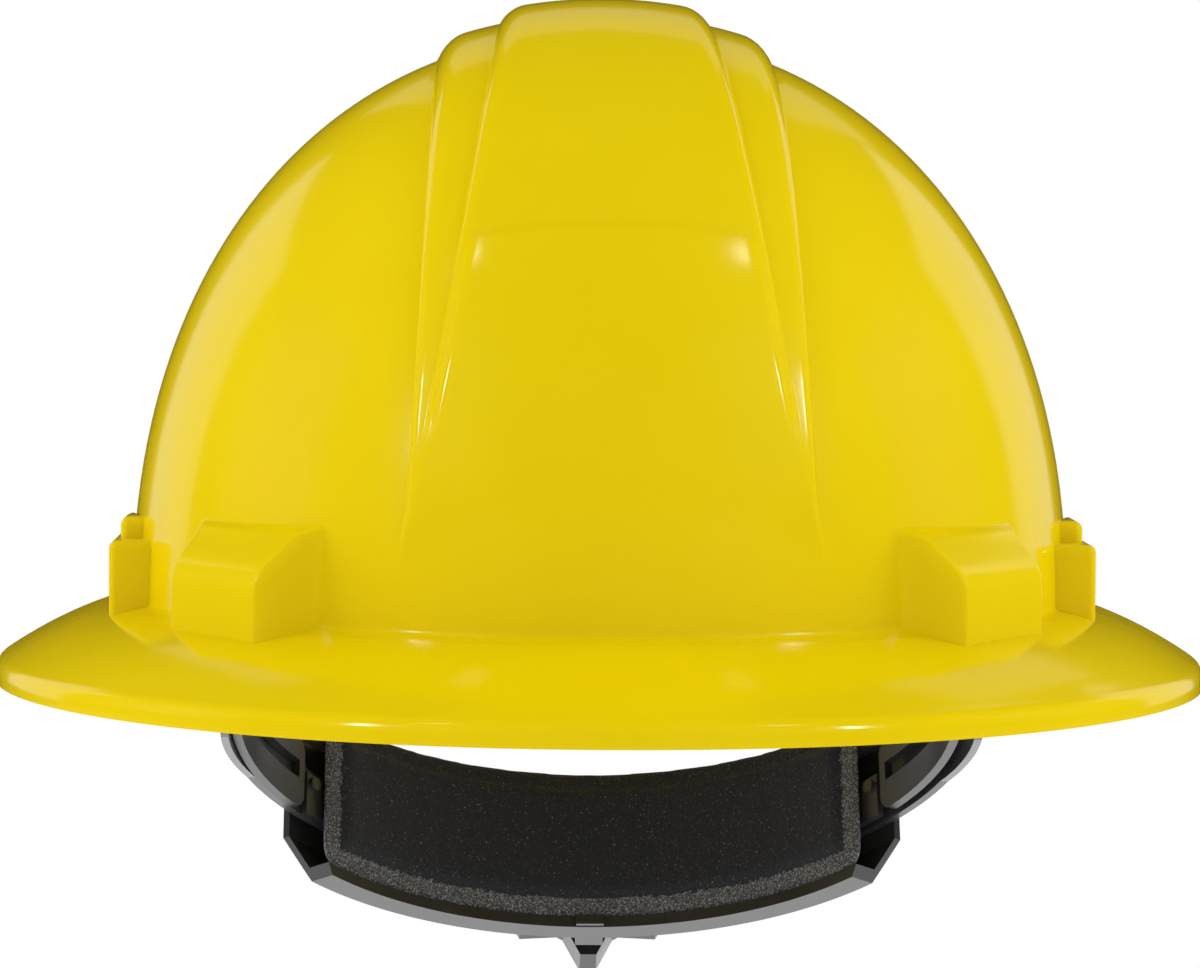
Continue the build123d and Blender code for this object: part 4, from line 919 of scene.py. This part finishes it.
def crown_webbing(name, crown_height, bearing):
    """One webbing strap across the head at a bearing; one unit of its UV map is 100 mm."""
    half = strap_path(crown_height)
    line = [(-s, z) for s, z in reversed(half[1:])] + half
    points = [Vector((s, 0, z)) for s, z in line]
    run = [0.0]
    for here, after in zip(points, points[1:]):
        run.append(run[-1] + (after - here).length)
    bm = bmesh.new()
    uv = bm.loops.layers.uv.new("weave")
    across_shares = [-1, -0.97, -0.9, -0.75, -0.5, -0.25, 0, 0.25, 0.5, 0.75, 0.9, 0.97, 1]
    for place, point in enumerate(points):
        before, after = points[max(place - 1, 0)], points[min(place + 1, len(points) - 1)]
        ahead = (after - before).normalized()
        out = Vector((0, 1, 0)).cross(ahead) * -1
        for side in (1, -1):
            for share in across_shares:
                thick = strap_thick / 2 * (1 - max(0, (abs(share) - thin_from) / thin_width) ** 2 * thinning)
                co = point + Vector((0, share * strap_width / 2, 0)) + out * thick * side
                bm.verts.new(co * MM)
    bm.verts.ensure_lookup_table()
    row_size = 2 * len(across_shares)

    def vertex(row, side, column):
        return bm.verts[row * row_size + side * len(across_shares) + column]

    last_row, last_column = len(points) - 1, len(across_shares) - 1
    for row in range(last_row):
        for column in range(last_column):
            for side in (0, 1):
                corners_here = [(row, column), (row + 1, column), (row + 1, column + 1), (row, column + 1)]
                if side:
                    corners_here.reverse()
                face = bm.faces.new([vertex(r, side, c) for r, c in corners_here])
                for loop, (r, c) in zip(face.loops, corners_here):
                    loop[uv].uv = (run[r] * map_along, across_shares[c] * strap_width * map_across + 0.5)
        for column in (0, last_column):
            corners_here = ((row, 0), (row, 1), (row + 1, 1), (row + 1, 0))
            bm.faces.new([vertex(r, side, column) for r, side in corners_here])
    for row in (0, last_row):
        for column in range(last_column):
            corners_here = ((0, column), (0, column + 1), (1, column + 1), (1, column))
            bm.faces.new([vertex(row, side, c) for side, c in corners_here])
    bmesh.ops.recalc_face_normals(bm, faces=bm.faces)
    bmesh.ops.rotate(bm, verts=bm.verts, cent=(0, 0, 0), matrix=Matrix.Rotation(bearing, 3, "Z"))
    return as_object(name, bm)


# %% The webbing's weave
units_to_millimetres = 100
yarn_dark, yarn_light = (0.016, 0.016, 0.018), (0.05, 0.05, 0.054)


def webbing_finish():
    """Dark woven polyester: slanting ribs, crossed by the finer picks of the weave."""
    material, nodes, links = finish_nodes("woven webbing")
    surface = nodes["Principled BSDF"]
    place = nodes.new("ShaderNodeTexCoord")
    spread_out = nodes.new("ShaderNodeMapping")
    spread_out.inputs["Scale"].default_value = [units_to_millimetres] * 3
    links.new(place.outputs["UV"], spread_out.inputs["Vector"])
    ribs, picks = nodes.new("ShaderNodeTexWave"), nodes.new("ShaderNodeTexWave")
    ribs.bands_direction, picks.bands_direction = "DIAGONAL", "Y"
    ribs.inputs["Scale"].default_value, picks.inputs["Scale"].default_value = 0.35, 0.45
    ribs.inputs["Distortion"].default_value, picks.inputs["Distortion"].default_value = 0.4, 0.3
    for wave in (ribs, picks):
        links.new(spread_out.outputs["Vector"], wave.inputs["Vector"])
    weave = nodes.new("ShaderNodeMath")
    weave.operation = "MULTIPLY"
    links.new(ribs.outputs["Fac"], weave.inputs[0])
    links.new(picks.outputs["Fac"], weave.inputs[1])
    colour = ramp_between(nodes, links, weave.outputs[0], 0.1, 0.8, (yarn_dark, yarn_light))
    links.new(colour, surface.inputs["Base Color"])
    set_surface(material, {"Roughness": 0.75, "Sheen Weight": 0.25})
    bump = nodes.new("ShaderNodeBump")
    bump.inputs["Strength"].default_value, bump.inputs["Distance"].default_value = 0.8, 0.0003
    links.new(weave.outputs[0], bump.inputs["Height"])
    links.new(bump.outputs["Normal"], surface.inputs["Normal"])
    return material


weave_finish = webbing_finish()
for name, crown_height, bearing, node in (
    ("under_webbing", 120.0, radians(42), "crown_strap_under"),
    ("over_webbing", 122.0, radians(-42), "crown_strap_over"),
):
    webbing = crown_webbing(name, crown_height, bearing)
    smooth(webbing, 40)
    webbing.data.materials.clear()
    webbing.data.materials.append(weave_finish)
    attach(webbing, "hat")
    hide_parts(node)
print("webbing faces", len(webbing.data.polygons))

# %% [markdown]
# ## The hard parts
# The rest is shown as it was drawn in CAD, each node with the finish of its own plastic or metal.

# %% A finish for every node
finish_of = {
    "suspension": suspension_finish,
    "webbing": weave_finish,
    "racks": rack_finish,
    "knob": knob_finish,
    "gear": gear_finish,
    "spring": spring_finish,
    "screws": steel_finish,
    "pad": pad_finish,
    "sweatband": sweatband_finish,
    "shell": shell_finish,
}
slot_of = {
    "shell": "shell",
    "front_left_key": "suspension",
    "front_right_key": "suspension",
    "rear_left_key": "suspension",
    "rear_right_key": "suspension",
    "crown_strap_under": "webbing",
    "crown_strap_over": "webbing",
    "headband": "suspension",
    "brow_sweatband": "sweatband",
    "left_nape_strap": "racks",
    "right_nape_strap": "racks",
    "left_lap_post": "gear",
    "right_lap_post": "gear",
    "nape_carrier": "suspension",
    "nape_pad": "pad",
    "ratchet_cover": "suspension",
    "left_cover_screw": "screws",
    "right_cover_screw": "screws",
    "pinion": "gear",
    "ratchet_knob": "knob",
    "click_spring": "spring",
    "knob_cap": "gear",
}
for node, use in slot_of.items():
    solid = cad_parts[node]
    solid.data.materials.clear()
    solid.data.materials.append(finish_of[use])
print("finished nodes", len(slot_of))
